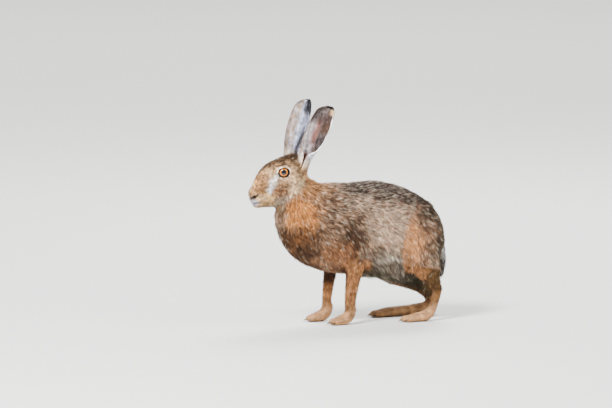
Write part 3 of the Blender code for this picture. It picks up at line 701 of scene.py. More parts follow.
def face_marks(marks, points, is_part):
    """The head, in its own axes."""
    forward, out, height = head_places(points)
    side = np.abs(out)
    head = is_part("head") * 1.0
    ragged = waves(points, 0.006, 31)
    forward = forward + 0.0016 * ragged
    height = height + 0.0012 * waves(points, 0.007, 32)

    def lay(mask, paint, dark, pale):
        marks.lay(head * mask, paint, dark, pale)

    lay(np.ones(len(points)), "buff", 0.30, 0.16)
    marks.lay_ovals(forward, height, BRIDGE, within=head)
    flecks = fade(waves(points, 0.0035, 33), -0.2, 0.9)
    top = fade(height + 0.25 * (forward - 0.05) + 0.25 * (0.02 - side), 0.290, 0.301)
    lay(top * (0.75 + 0.25 * flecks), "forehead", 0.60, 0.06)
    lay(fade(height, 0.245, 0.285) * flecks * 0.45, "forehead", 0.50, 0.0)
    lay(fade(0.008 - side, 0.0, 0.005) * fade(height, 0.255, 0.275) * 0.7, "forehead", 0.45, 0.10)
    marks.lay_ovals(forward, height, CHEEK_OVALS, within=head)
    # Painted shade: the underside of the head is darkened.
    lay(fade(0.214 - height, 0.0, 0.005) * 0.9, "jaw_shade", 0.20, 0.14)
    marks.lay_ovals(forward, height, MUZZLE_OVALS, within=head)
    streak = spot(line_distance(forward, height, *WHITE_STREAK), 0.0042)
    lay(streak * fade(side, 0.008, 0.014) * 1.6, "white", 0.04, 0.10)
    for side_name in SIDES:
        ahead, above, ring = eye_offset(points, side_name)
        ring = ring + 0.07 * ragged
        uneven = 0.24 + 0.24 * waves(points, 0.005, 34) + 0.70 * fade(ahead, 0.0, 0.008)
        uneven = uneven + 0.45 * fade(-ahead, 0.0, 0.008) * fade(above, -0.002, 0.006)
        lay(spot(ring - 1.22, 0.14) * uneven, "cream", 0.04, 0.10)
        lay(spot(ring - 1.62, 0.16) * fade(height, 0.284, 0.290), "forehead", 0.50, 0.05)
        lay(1 - fade(ring - 0.10 * fade(ahead, 0.0, 0.008), 0.97, 1.07), "dark_line", 0.0, 0.0)
    # Painted shade: the nostril slits, the mouth line and the cleft are dark in their grooves.
    slit = spot(line_distance(forward, height, *NOSTRIL), 0.0021) * fade(side, 0.002, 0.004)
    lay(slit * fade(forward, 0.09, 0.10) * 1.8, "dark_line", 0.0, 0.0)
    mouth = spot(height - MOUTH_HEIGHT, 0.0010) * fade(forward, 0.088, 0.096)
    cleft = spot(out, 0.0010) * fade(forward, 0.102, 0.106) * (np.abs(height - 0.229) < 0.007)
    lay(np.maximum(mouth, cleft) * 0.9, "dark_line", 0.0, 0.0)


print("ovals on the face", len(BRIDGE + CHEEK_OVALS + MUZZLE_OVALS))

# %% [markdown]
# An ear is marked by its own places, found again from the stations that shaped it: how far along
# the ear a point is, how far to the front or the rear, in the cup or on the back, and how near the
# free rear edge. The markings then follow the ear's curl, which no flat picture would do.

# %% Ear places and ear markings
EAR_POINT = [((0.78, 0.935), (0.32, 0.038), 1.2, "cheek_pale", 0.10, 0.06)]


def ear_places(points, normals, side):
    """Place along the ear, place from rear at -1 to front at 1, 1 in the cup, and degrees to the rim.

    The last counts round the wall from its free rear edge."""
    root, tip, along, opening, to_front = (np.array(v) for v in ear_axes(side))
    place = (points - root) @ along / np.linalg.norm(tip - root)
    table = np.array(EAR_ROWS)
    columns = (1, 2, 3, 4, 6)
    front, rear, cup, bow, curl = (np.interp(place, table[:, 0], table[:, k]) for k in columns)
    sweep = EAR_SWEEP[side] * np.sin(np.pi * np.clip(place, 0.0, 1.0))
    away = points - root - np.outer(place, tip - root) + bow[:, None] * opening
    aside = away @ to_front - sweep
    share = np.where(aside > 0, aside / np.maximum(front, 0.002), aside / np.maximum(rear, 0.002))
    middle = ((front - rear) / 2 + sweep)[:, None] * to_front
    inside = (np.einsum("ij,ij->i", normals, away - middle) < 0) * 1.0
    across = (aside - (front - rear) / 2) / ((front + rear) / 2)
    from_rim = np.degrees(np.arctan2(across, -(away @ opening) / np.maximum(cup, 0.001))) + curl
    return place, share, inside, from_rim


def ear_marks(marks, points, normals, side, mask):
    """The ear: grey back and shaded cup, then the white rear rim and the black tip over both."""
    place, front, inside, from_rim = ear_places(points, normals, side)
    front = front + 0.05 * waves(points, 0.006, 41)
    place = place + 0.012 * waves(points, 0.007, 42)
    back = mask * (1 - inside)
    cup = mask * inside
    grain = fade(waves(points * (1.0, 1.0, 0.4), 0.0022, 43), -0.6, 1.2)
    marks.lay(mask, "ear_back", 0.16, 0.20)
    marks.lay(mask * grain * 0.50, "slate", 0.40, 0.10)
    ear_back_marks(marks, back, place, front, grain)
    ear_cup_marks(marks, cup, place, front, grain)
    rim = (1 - fade(from_rim, 12.0, 19.0)) * fade(place, 0.22, 0.27) * (1 - fade(place, 0.88, 0.94))
    marks.lay(mask * rim * 1.4, "white", 0.0, 0.10)
    marks.lay_ovals(-front, place, EAR_POINT, within=cup)
    tip = fade(place, 0.76, 0.85) * (1 - fade(front, -0.10, 0.35)) * (0.92 + 0.08 * grain)
    marks.lay(back * np.maximum(tip, fade(place, 0.965, 0.985)), "black", 0.20, 0.14)
    rim = fade(front, 0.78, 0.90) * fade(place, 0.68, 0.76)
    marks.lay(cup * np.maximum(rim, fade(place, 0.966, 0.984)), "black", 0.20, 0.0)


def ear_back_marks(marks, back, place, front, grain):
    """A brown front edge, a strip of painted shade low down, a speckled upper half and a pale base."""
    rear = -front
    marks.lay(back * fade(front, 0.15, 0.50) * (0.6 + 0.4 * grain), "ear_edge", 0.16, 0.10)
    marks.lay(back * fade(front, 0.80, 1.00) * 0.6, "umber", 0.20, 0.05)
    # Painted shade: a darker grey strip low on the back of the ear, near its rear edge.
    strip = spot(rear - np.maximum(0.15 + 1.6 * (place - 0.31), 0.0), 0.36)
    strip = strip * (1 - fade(place, 0.45, 0.62)) * (0.75 + 0.25 * grain)
    marks.lay(back * strip * 1.1, "ear_strip_shade", 0.20, 0.05)
    speckled = fade(rear, -0.3, 0.3) * fade(place, 0.55, 0.86) * (0.35 + 0.65 * grain)
    marks.lay(back * speckled, "slate", 0.55, 0.15)
    marks.lay(back * (1 - fade(place, 0.12, 0.28)), "ear_base", 0.26, 0.10)
    marks.lay(back * (1 - fade(place, 0.02, 0.12)) * 0.6, "buff", 0.30, 0.10)


def ear_cup_marks(marks, cup, place, front, grain):
    """A pale front half, a rosy band, a dark rear half, a brown upper part and a pink root darkened as
    painted shade.
    """
    rear = -front
    marks.lay(cup * (1 - 0.22 * grain), "ear_inside", 0.06, 0.10)
    band = spot(front - 0.08 - 0.50 * (place - 0.46), 0.36) * fade(place, 0.30, 0.42)
    marks.lay(cup * band * (1 - fade(place, 0.74, 0.86)), "vein", 0.14, 0.05)
    shade = fade(rear, -0.15, 0.25) * (1 - fade(rear, 0.88, 0.94)) * fade(place, 0.25, 0.33)
    marks.lay(cup * shade * (0.88 + 0.12 * grain), "ear_shade", 0.35, 0.01)
    marks.lay(cup * shade * fade(place, 0.50, 0.66) * 0.6, "umber", 0.35, 0.01)
    upper = fade(place + 0.06 * front, 0.64, 0.80) * (0.88 + 0.12 * grain)
    marks.lay(cup * upper * (1 - fade(rear, 0.84, 0.96)), "ear_upper", 0.45, 0.02)
    marks.lay(cup * spot(place - 0.29, 0.045) * fade(rear, -0.2, 0.2), "slate", 0.10, 0.20)
    # The pink root of the cup, darkened as painted shade inside the rolled tube.
    marks.lay(cup * (1 - fade(place, 0.20, 0.26)), "shaded_pink", 0.0, 0.10)


def ear_side(points, labels):
    """1 for points of the left ear, -1 for the right ear and 0 for the rest."""
    distances = []
    for side in ("left", "right"):
        root, tip = (np.array(v) for v in ear_axes(side)[:2])
        share = np.clip((points - root) @ (tip - root) / np.sum((tip - root) ** 2), 0.0, 1.0)
        distances.append(np.linalg.norm(points - root - share[:, None] * (tip - root), axis=1))
    nearer_left = distances[0] < distances[1]
    return np.where(labels == part_of("ear"), np.where(nearer_left, 1, -1), 0)


# %% The whole coat's markings
FINE_MOTTLE = 0.42
MIDDLE_MOTTLE = 0.10
BROAD_MOTTLE = 0.16
PALE_GLOW = 0.45
SKIN_SHADE = 0.52


def coat_marks(points, normals, labels):
    """The whole animal's markings, for any points with normals and part labels."""
    marks = Marks(len(points), "grizzle", 0.34, 0.26)

    def is_part(name):
        return (labels == part_of(name)) * 1.0

    body_marks(marks, points, is_part)
    face_marks(marks, points, is_part)
    which = ear_side(points, labels)
    for side, sign in SIDES.items():
        ear_marks(marks, points, normals, side, (which == sign) * 1.0)
    short_fur = is_part("head") + 0.7 * (is_part("foreleg") + is_part("shank") + is_part("ear"))
    mottle = FINE_MOTTLE * short_fur * waves(points, 0.0034, 53, 14)
    mottle += MIDDLE_MOTTLE * waves(points, 0.005, 51, 12)
    mottle += BROAD_MOTTLE * waves(points, 0.010, 52, 12)
    marks.rows[:, :3] *= np.exp(mottle)[:, None]
    return marks.rows


def in_shade(colours, share):
    """Colours as they are down in the coat: pale fur lets more light through to its roots."""
    return colours * (share + PALE_GLOW * colours.mean(1, keepdims=True))


def paint_points(mesh, colours):
    """A colour on each point of a mesh, under the name that the materials read."""
    layer = mesh.color_attributes.new("coat", "FLOAT_COLOR", "POINT")
    layer.data.foreach_set("color", np.column_stack([colours, np.ones(len(colours))]).ravel())


label = nearest_parts(skin.data, [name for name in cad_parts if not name.startswith("eye")])
places = coordinates(skin.data)
normals = vertex_normals(skin.data)
ends = edge_ends(skin.data)
marks = coat_marks(places, normals, label)
marks = spread(marks, ends, 1)
paint_points(skin.data, in_shade(marks[:, :3], SKIN_SHADE))
print("mean coat colour", marks[:, :3].mean(0).round(3))

# %% [markdown]
# Hair lies along the body, from the nose back to the tail and down the limbs. The lie is a field
# of directions over the skin: each part has a rule, the rules are spread into one another, and
# the result is laid flat on the surface. Slow waves bend it a little, as in a living coat. Fur
# can be combed by hand too, but a field of directions keeps the same lie when a shape changes.

# %% The lie of the coat
LIE = {
    "neck": (0.55, 0.0, -1.0), "thigh": (0.45, 0.0, -1.0), "shank": (0.25, 0.0, -1.0),
    "foreleg": (0.10, 0.0, -1.0), "forefoot": (-1.0, 0.0, -0.5), "hind_foot": (-1.0, 0.0, -0.45),
    "tail": (0.25, 0.0, -1.0),
}
LIE_ROUNDS = 25


def lie_directions(points, normals, labels):
    """The direction in which the coat lies at each point."""
    x, y, z = points.T
    count = len(points)
    lie = np.zeros((count, 3))
    down = 0.20 + 1.0 * fade(0.235 - z, 0.0, 0.07) + 0.5 * fade(-x, 0.06, 0.12)
    lie[:] = np.stack([np.ones(count), np.zeros(count), -down], 1)
    head = labels == part_of("head")
    lie[head] = -np.array(FORWARD) + 0.10 * np.array(UP)
    lie[head, 2] -= 0.55 * fade(0.262 - z[head], 0.0, 0.03)
    for part, direction in LIE.items():
        lie[labels == part_of(part)] = direction
    which = ear_side(points, labels)
    for side, sign in SIDES.items():
        lie[which == sign] = ear_axes(side)[2]
    lie = spread(lie, ends, LIE_ROUNDS)
    for side, sign in SIDES.items():
        lie[which == sign] = ear_axes(side)[2]
    return on_surface(lie, normals)


def on_surface(directions, normals):
    """Directions laid flat on the surface, one long."""
    flat = directions - np.einsum("ij,ij->i", directions, normals)[:, None] * normals
    return flat / np.maximum(np.linalg.norm(flat, axis=1), 1e-6)[:, None]


lie = lie_directions(places, normals, label)
print("mean lie", lie.mean(0).round(2))

# %% Length, width and lift of the tufts
SIZE_ROUNDS = 30
TUFT = {
    "head": (0.0050, 0.00052, 22), "neck": (0.0120, 0.00070, 22), "torso": (0.0145, 0.00078, 19),
    "thigh": (0.0125, 0.00080, 18), "shank": (0.0080, 0.00064, 21),
    "hind_foot": (0.0058, 0.00054, 19), "foreleg": (0.0078, 0.00062, 21),
    "forefoot": (0.0054, 0.00052, 19), "tail": (0.0160, 0.00090, 20), "ear": (0.0030, 0.00040, 10),
    "eye": (0.0024, 0.00040, 8),
}


def tuft_sizes(points, labels):
    """Length, width and lift: spread between the parts, short on the face, long underneath."""
    sizes = spread(by_part(TUFT, labels), ends, SIZE_ROUNDS)
    forward, out, height = head_places(points)
    face = (labels == part_of("head")) * 1.0
    for side in SIDES:
        ring = eye_offset(points, side)[2]
        sizes[:, 0] *= 1 - 0.50 * face * (1 - fade(ring, 1.2, 2.4))
    sizes[:, 0] *= 1 - 0.45 * face * fade(forward, 0.070, 0.100)
    sizes[:, 1] *= 1 - 0.20 * face * fade(forward, 0.070, 0.100)
    crown = face * fade(height, 0.286, 0.294) * (1 - fade(forward, 0.034, 0.050))
    sizes[:, 0] *= 1 + 1.00 * crown
    sizes[:, 2] *= 1 + 1.10 * crown
    sizes[:, 0] *= 1 - 0.3 * (points[:, 2] < 0.012)
    trunk = (labels == part_of("torso")) * fade(points[:, 0], -0.03, 0.01)
    belly = trunk * fade(0.118 - points[:, 2], 0.0, 0.020)
    sizes[:, 0] *= 1 + 0.60 * belly
    sizes[:, 2] *= 1 + 0.50 * belly
    return sizes


sizes = tuft_sizes(places, label)
print("tuft length mm", (sizes[:, 0].min() * 1000).round(1), "to", (sizes[:, 0].max() * 1000).round(1))

# %% [markdown]
# The tufts are solid three-sided blades, joined into a few meshes, because hair curves and
# particles aren't kept when the model is exported. There are two kinds, as in a real coat: fine
# straight underfur, and longer curved guard hairs that stand out of it. Roots are dealt out evenly
# over the skin by area. Neighbours bend to the tip of a shared lock, and a lock is mostly of one
# tone: dark-tipped, pale-tipped or plain, which makes the grizzled look of a hare's coat.

# %% Deal out roots and locks
skin.data.calc_loop_triangles()
corners = read_rows(skin.data.loop_triangles, "vertices", 3, int)
edge_a = places[corners[:, 1]] - places[corners[:, 0]]
edge_b = places[corners[:, 2]] - places[corners[:, 0]]
areas = np.linalg.norm(np.cross(edge_a, edge_b), axis=1) / 2
print("skin triangles", len(corners), "area cm2", round(areas.sum() * 10000))


def deal_roots(weights, count, draw):
    """Evenly dealt places on the skin: the triangle of each and its three shares."""
    total = np.cumsum(weights)
    steps = (np.arange(count) + draw.uniform(size=count)) / count * total[-1]
    chosen = np.minimum(np.searchsorted(total, steps), len(weights) - 1)
    first = np.sqrt(draw.uniform(size=count))
    second = draw.uniform(size=count)
    return chosen, np.stack([1 - first, first * (1 - second), first * second], 1)


def read_at(values, chosen, shares):
    """A value of the skin's points read at dealt places."""
    return np.einsum("ij,ijk->ik", shares, values.reshape(len(values), -1)[corners[chosen]])


def unit(rows):
    return rows / np.maximum(np.linalg.norm(rows, axis=1), 1e-9)[:, None]


def nearest(centres, points):
    """Which centre lies nearest to each point."""
    tree = KDTree(len(centres))
    for k, centre in enumerate(centres):
        tree.insert(centre, k)
    tree.balance()
    return np.array([tree.find(point)[1] for point in points])


# %% Grow one coat piece
LOCK_TUFTS = {True: 30, False: 6}
LOCK_PULL = 0.60
LOCK_TONE = 0.40
LOCK_SHARE = 0.75
TUFT_TONE = 0.16
ROOT_SHADE = 0.36
DARK_TIP = 0.72
PALE_TIP = 0.54
DARK_MIDDLE = 0.40
PALE_MIDDLE = 0.34
SWIRL = 0.22
SWIRL_SIZE = 0.030
STRAY = 0.12
LENGTHS = (0.70, 1.25)
LIFTS = {True: (0.6, 1.4), False: (0.6, 1.9)}
GUARD_FALL = 0.3
LOCK_REACH = 0.8
RIDGE = 0.4
BELT = 0.8
PATCH = 0.003
UNDER_SKIN = 0.0006
OVER_FLOOR = 0.0003
FINE_SIZE = (0.72, 0.85, 1.0)
GUARD_FACES = np.array([
    (0, 1, 4), (0, 4, 3), (1, 2, 5), (1, 5, 4), (2, 0, 3), (2, 3, 5), (3, 4, 6), (4, 5, 6), (5, 3, 6),
])
GUARD_PLACES = np.array([(0, 0), (1, 0), (0.5, 0), (0, 0.5), (1, 0.5), (0.5, 0.5), (0.5, 1)]) * PATCH
FINE_FACES = np.array([(0, 1, 3), (1, 2, 3), (2, 0, 3)])
FINE_PLACES = np.array([(0, 0), (1, 0), (0.5, 0), (0.5, 1)]) * PATCH


def turned(lie, normals, angles):
    """Directions turned on the surface by some angles."""
    across = np.cross(normals, lie)
    return lie * np.cos(angles)[:, None] + across * np.sin(angles)[:, None]


def blades(base, centre, tip, across, ridge, fine):
    """The corners of each tuft: three at the root, three round the middle if long, and the tip."""
    root_ring = [base - across, base + across, base + ridge]
    belt = [centre - across * BELT, centre + across * BELT, centre + ridge * BELT]
    return np.stack(root_ring + ([] if fine else belt) + [tip], 1)


def grow_tufts(mask, count, draw, fine):
    """Points, colours and roots of some tufts over the triangles that a mask picks."""
    chosen, shares = deal_roots(areas * mask, count, draw)
    roots = read_at(places, chosen, shares)
    normal = unit(read_at(normals, chosen, shares))
    direction = unit(read_at(lie, chosen, shares))
    size = read_at(sizes, chosen, shares) * (FINE_SIZE if fine else 1.0)
    turn = SWIRL * waves(roots, SWIRL_SIZE, 11) + draw.normal(0, STRAY, count)
    direction = on_surface(turned(direction, normal, turn), normal)
    length = size[:, :1] * draw.uniform(*LENGTHS, (count, 1))
    rise = np.radians(size[:, 2:] * draw.uniform(*LIFTS[fine], (count, 1)))
    fall = rise if fine else rise * GUARD_FALL
    centre = roots + length / 2 * (direction * np.cos(rise) + normal * np.sin(rise))
    tip = centre + length / 2 * (direction * np.cos(fall) + normal * np.sin(fall))
    leaders = draw.permutation(count)[: count // LOCK_TUFTS[fine]]
    lock = leaders[nearest(roots[leaders], roots)]
    apart = np.linalg.norm(roots - roots[lock], axis=1)[:, None]
    pull = LOCK_PULL * spot(apart / (size[:, :1] * LOCK_REACH), 1.0)
    tip = tip * (1 - pull) + tip[lock] * pull
    centre = centre * (1 - 0.5 * pull) + centre[lock] * 0.5 * pull
    across = unit(np.cross(normal, direction)) * size[:, 1:2] / 2
    ridge = normal * size[:, 1:2] * RIDGE
    points = blades(roots - normal * UNDER_SKIN, centre, tip, across, ridge, fine)
    points[:, :, 2] = np.maximum(points[:, :, 2], OVER_FLOOR)
    root_colour, centre_colour, tip_colour = tuft_colours(read_at(marks, chosen, shares), lock, draw)
    colours = np.stack([root_colour] * 3 + ([] if fine else [centre_colour] * 3) + [tip_colour], 1)
    return points, colours, roots


def tuft_colours(mark, lock, draw):
    """Root, middle and tip colours of each tuft, mostly of one tone within a lock."""
    count = len(mark)
    lock_roll = draw.uniform(size=count)[lock]
    own_roll = draw.uniform(size=count)
    roll = np.where(draw.uniform(size=count) < LOCK_SHARE, lock_roll, own_roll)
    dark = (roll < mark[:, 3]).astype(float)[:, None]
    pale = (roll > 1 - mark[:, 4]).astype(float)[:, None]
    ticked = 0.45 + 0.55 * np.clip((mark[:, 3] + mark[:, 4]) / 0.4, 0.0, 1.0)
    lock_tone = np.exp(LOCK_TONE * ticked * draw.normal(size=count)[lock])
    tone = (lock_tone * (1 + TUFT_TONE * draw.normal(size=count)))[:, None]
    own = np.clip(mark[:, :3] * np.clip(tone, 0.4, 1.9), 0.0, 1.0)
    tip = own * (1 - DARK_TIP * dark) + linear("black") * DARK_TIP * dark
    tip = tip * (1 - PALE_TIP * pale) + linear("cream") * PALE_TIP * pale
    centre = own * (1 - DARK_MIDDLE * dark) + linear("black") * DARK_MIDDLE * dark
    centre = centre * (1 - PALE_MIDDLE * pale) + linear("cream") * PALE_MIDDLE * pale
    return in_shade(own, ROOT_SHADE), centre, tip


def grow(name, mask, guards, fines, seed, unwrap):
    """One coat piece: its guard hairs and its underfur in one mesh."""
    draw = np.random.default_rng(seed)
    kinds = []
    for count, fine in ((guards, False), (fines, True)):
        if count:
            kinds.append((grow_tufts(mask, count, draw, fine), fine))
    return build_tufts(name, kinds, unwrap)


def build_tufts(name, kinds, unwrap):
    """One mesh from all tufts, with their colours and the patch of each on the map."""
    points, colours, faces, patches = [], [], [], []
    start = 0
    for (tuft_points, tuft_colour, roots), fine in kinds:
        blade_faces = FINE_FACES if fine else GUARD_FACES
        blade_places = FINE_PLACES if fine else GUARD_PLACES
        corner_count = tuft_points.shape[1]
        firsts = start + corner_count * np.arange(len(roots))
        faces.append((blade_faces[None] + firsts[:, None, None]).reshape(-1, 3))
        points.append(tuft_points.reshape(-1, 3))
        colours.append(tuft_colour.reshape(-1, 3))
        patches.append((unwrap(roots)[:, None, :] + blade_places[None]).reshape(-1, 2))
        start += corner_count * len(roots)
    lists = (points, colours, faces, patches)
    points, colours, faces, patches = (np.concatenate(rows) for rows in lists)
    mesh = bpy.data.meshes.new(name)
    mesh.vertices.add(len(points))
    mesh.vertices.foreach_set("co", points.ravel())
    mesh.loops.add(len(faces) * 3)
    mesh.loops.foreach_set("vertex_index", faces.ravel())
    mesh.polygons.add(len(faces))
    mesh.polygons.foreach_set("loop_start", np.arange(len(faces)) * 3)
    mesh.update(calc_edges=True)
    paint_points(mesh, colours)
    bake = mesh.uv_layers.new(name="OFBake")
    bake.data.foreach_set("uv", patches[faces.ravel()].ravel())
    mesh.shade_smooth()
    print(name, sum(len(kind[0][2]) for kind in kinds), "tufts,", len(faces), "triangles")
    return new_object(name, mesh)


# %% [markdown]
# Each coat piece is unwrapped like the label of a can: round a straight axis through that part
# of the body and along it. The tuft's patch then sits at its root's place on that wrap. Blender's
# own unwrap would need seams on every one of the tufts, and a view from one side would fold the
# far half over the near one.

# %% The can-label unwrap


def can_wrap(start, end, seam):
    """A rule that gives a place on the map, round and along an axis, with its seam to one side."""
    start, end, seam = (np.array(v, float) for v in (start, end, seam))
    along = (end - start) / np.linalg.norm(end - start)
    seam = seam - along * (seam @ along)
    seam = seam / np.linalg.norm(seam)
    third = np.cross(along, seam)
    length = np.linalg.norm(end - start)

    def unwrap(roots):
        away = roots - start
        share = np.clip((away @ along) / length, 0.0, 1.0)
        round_it = (np.arctan2(-(away @ third), -(away @ seam)) / math.tau + 0.5) % 1.0
        return np.stack([0.01 + 0.975 * round_it, 0.01 + 0.975 * share], 1)

    return unwrap


body_wrap = can_wrap((-0.17, 0, 0.17), (0.20, 0, 0.15), (0, 0, -1))
up_wrap = can_wrap((0, 0, 0), (0, 0, 0.41), (1, 0, 0))
head_wrap = can_wrap(in_head(-0.01, 0, 0.245), in_head(0.12, 0, 0.245), (0, 0, -1))
print("root of the left ear on the map", up_wrap(np.array([in_head(*EAR_ROOT["left"])])).round(3))

# %% [markdown]
# The coat is dealt out in ten pieces, so that none of them is too heavy to handle. It could be one
# mesh, but then a change to one part of the body would grow all of it anew. The muzzle gets more
# tufts for its size, because they are shortest there, and none grow in the opening of the eyes.

# %% All coat pieces
face_label = label[corners[:, 0]]
face_centre = places[corners].mean(1)


def on_parts(*names):
    return np.isin(face_label, [part_of(name) for name in names])


left_side = face_centre[:, 1] < 0
trunk = on_parts("torso", "neck")
front = face_centre[:, 0] < -0.030
underneath = (face_centre[:, 2] < 0.120) & trunk & ~front
muzzle_share = 1 + 1.2 * fade(head_places(face_centre)[0], 0.07, 0.10)
hidden = np.zeros(len(face_label), bool)
for side in SIDES:
    ahead, _, ring = eye_offset(face_centre, side)
    hidden |= ring < np.where(ahead > 0.0, 1.34, 1.12)

# Name, where it grows, guard hairs, underfur and the rule of its map.
COATS = [
    ("coat_head", on_parts("head") * muzzle_share * ~hidden, 4000, 52000, head_wrap),
    ("coat_ears", on_parts("ear"), 0, 48000, up_wrap),
    ("coat_front_left", trunk * front * left_side, 8500, 32000, body_wrap),
    ("coat_front_right", trunk * front * ~left_side, 6000, 26000, body_wrap),
    ("coat_left_side", trunk * ~front * left_side * ~underneath, 9500, 36000, body_wrap),
    ("coat_right_side", trunk * ~front * ~left_side * ~underneath, 7000, 28000, body_wrap),
    ("coat_belly", underneath, 4000, 10000, body_wrap),
    ("coat_haunch_left", on_parts("thigh", "tail") * left_side, 5000, 26000, body_wrap),
    ("coat_haunch_right", on_parts("thigh", "tail") * ~left_side, 4000, 20000, body_wrap),
    ("coat_legs", on_parts("shank", "foreleg", "forefoot", "hind_foot"), 3000, 52000, up_wrap),
]
FIRST_SEED = 100
coats = []
for k, (name, mask, guards, fines, unwrap) in enumerate(COATS):
    coats.append(grow(name, mask * 1.0, guards, fines, FIRST_SEED + k, unwrap))
print("coat triangles", sum(len(coat.data.polygons) for coat in coats))

# %% [markdown]
# Fur takes its colour from the painted attribute. A little fine noise breaks it up, and the
# surface is rough with a weak sheen, as hair scatters light along its length. There is a shader
# made for hair, but it is meant for curves, and the exported model would lose it.

# %% Coat and skin materials
FUR_ROUGHNESS = 0.72
FUR_SHINE = 0.15
FUR_SHEEN = 0.03


def new_material(name, roughness):
    """A material, its node tree and its shader."""
    material = bpy.data.materials.new(name)
    material.use_nodes = True
    shader = material.node_tree.nodes["Principled BSDF"]
    shader.inputs["Roughness"].default_value = roughness
    return material, material.node_tree, shader


def node(tree, kind, **values):
    """A new node, with its settings and input values given by name."""
    made = tree.nodes.new(kind)
    for key, value in values.items():
        if hasattr(made, key):
            setattr(made, key, value)
        else:
            made.inputs[key].default_value = value
    return made


def link(source, output, target, entry):
    """Join an output of one node to an input of another."""
    source.id_data.links.new(source.outputs[output], target.inputs[entry])


def mottled(tree, colour, noise, low, high):
    """The colour of a node made darker and lighter by a noise, between two shares of itself."""
    tone = node(tree, "ShaderNodeMapRange")
    tone.inputs["To Min"].default_value = low
    tone.inputs["To Max"].default_value = high
    link(noise, "Fac", tone, "Value")
    mixed = node(tree, "ShaderNodeMix", data_type="RGBA", blend_type="MULTIPLY")
    mixed.inputs["Factor"].default_value = 1.0
    link(colour, "Color", mixed, "A")
    link(tone, "Result", mixed, "B")
    return mixed


def painted_fur(name, grain, bump_height):
    """The coat's painted colour with a fine grain and a low bump."""
    material, tree, shader = new_material(name, FUR_ROUGHNESS)
    colour = node(tree, "ShaderNodeVertexColor", layer_name="coat")
    place = node(tree, "ShaderNodeTexCoord")
    noise = node(tree, "ShaderNodeTexNoise", Scale=grain, Detail=3.0)
    link(place, "Object", noise, "Vector")
    link(mottled(tree, colour, noise, 0.80, 1.20), "Result", shader, "Base Color")
    bump = node(tree, "ShaderNodeBump", Strength=0.5, Distance=bump_height)
    link(noise, "Fac", bump, "Height")
    link(bump, "Normal", shader, "Normal")
    shader.inputs["Specular IOR Level"].default_value = FUR_SHINE
    shader.inputs["Sheen Weight"].default_value = FUR_SHEEN
    return material


fur = painted_fur("fur", 900.0, 0.0002)
hide = painted_fur("hide", 700.0, 0.0004)
skin.data.materials.clear()
skin.data.materials.append(hide)
skin.data.shade_smooth()
for coat in coats:
    coat.data.materials.append(fur)
print("fur on", len(coats), "pieces")

# %% [markdown]
# The eye is a ball with a polar map: one way runs round the line of sight and the other away
# from it. The pupil, the amber iris with its fine streaks and its dark border follow that map,
# and a clear coat gives the wet shine. A ramp of colours over the map stays sharp at any distance,
# which a picture of an eye would not.

# %% Eyes
EYE_RADIUS = 0.0107
GAZE = (0.10, 0.97, 0.07)
PUPIL_ANGLE = math.radians(24)
IRIS_ANGLE = math.radians(46)
STREAKS = (70.0, 6.0, 1.0)


def eye_material():
    """Pupil, iris and dark border as rings round the line of sight, under a clear coat."""
    material, tree, shader = new_material("amber_eye", 0.12)
    map_node = node(tree, "ShaderNodeUVMap", uv_map="gaze")
    parts = node(tree, "ShaderNodeSeparateXYZ")
    link(map_node, "UV", parts, "Vector")
    ramp = node(tree, "ShaderNodeValToRGB")
    link(parts, "Y", ramp, "Fac")
    pupil, iris = PUPIL_ANGLE / math.pi, IRIS_ANGLE / math.pi
    stops = [(0.0, (0.004, 0.004, 0.006)), (pupil * 0.92, (0.004, 0.004, 0.006)),
             (pupil * 1.08, (0.16, 0.045, 0.004)), (pupil * 1.30, (0.56, 0.170, 0.006)),
             (iris * 0.82, (0.60, 0.170, 0.005)), (iris * 0.93, (0.10, 0.028, 0.005)),
             (iris * 1.00, (0.010, 0.006, 0.005))]
    ramp.color_ramp.elements[0].color = (*stops[0][1], 1.0)
    ramp.color_ramp.elements[1].position = stops[-1][0]
    ramp.color_ramp.elements[1].color = (*stops[-1][1], 1.0)
    for position, colour in stops[1:-1]:
        ramp.color_ramp.elements.new(position).color = (*colour, 1.0)
    streaks = node(tree, "ShaderNodeTexNoise", Scale=1.0, Detail=4.0)
    stretch = node(tree, "ShaderNodeMapping")
    stretch.inputs["Scale"].default_value = STREAKS
    link(map_node, "UV", stretch, "Vector")
    link(stretch, "Vector", streaks, "Vector")
    link(mottled(tree, ramp, streaks, 0.55, 1.35), "Result", shader, "Base Color")
    shader.inputs["Specular IOR Level"].default_value = 0.0
    shader.inputs["Coat Weight"].default_value = 1.0
    shader.inputs["Coat Roughness"].default_value = 0.03
    return material


def make_eye(side, material):
    """A ball whose pole looks along the line of sight."""
    bpy.ops.mesh.primitive_uv_sphere_add(segments=64, ring_count=48, radius=EYE_RADIUS)
    eye = bpy.context.active_object
    eye.name = "eyeball_" + side
    eye.data.name = eye.name
    polar = eye.data.uv_layers.active
    polar.name = "gaze"
    for loop in eye.data.loops:
        where = eye.data.vertices[loop.vertex_index].co / EYE_RADIUS
        polar.data[loop.index].uv[1] = math.acos(max(-1.0, min(1.0, where.z))) / math.pi
    along, side_way, up = GAZE
    sight = (FORWARD * along + LEFTWARD * SIDES[side] * side_way + UP * up).normalized()
    turn = UP.rotation_difference(sight).to_matrix().to_4x4()
    eye.data.transform(Matrix.Translation(EYES[side]) @ turn)
    eye.data.shade_smooth()
    eye.data.materials.append(material)
    return eye


amber = eye_material()
eyeballs = {side: make_eye(side, amber) for side in SIDES}
print("eyes", [round(v, 4) for v in EYES["left"]])

# %% [markdown]
# The lids are a soft ring round each eye. Its inner edge follows an almond shape on the ball,
# with the front corner drawn forward and down, and its outer edge sinks into the skin. A hole cut
# in the skin would need its own edge loops. A ring laid over it has them, and casts the shade
# that sets an eye into a face.

# %% Lids
LID_POINTS = 72
OPENING = (0.0088, 0.0072)
CORNER_ANGLE = math.radians(-26)
LID_WIDTH = 1.55
UPPER_LID = 0.0005
LID_ROUNDING = 2
WET_EDGE = (0.0012, 0.0022)


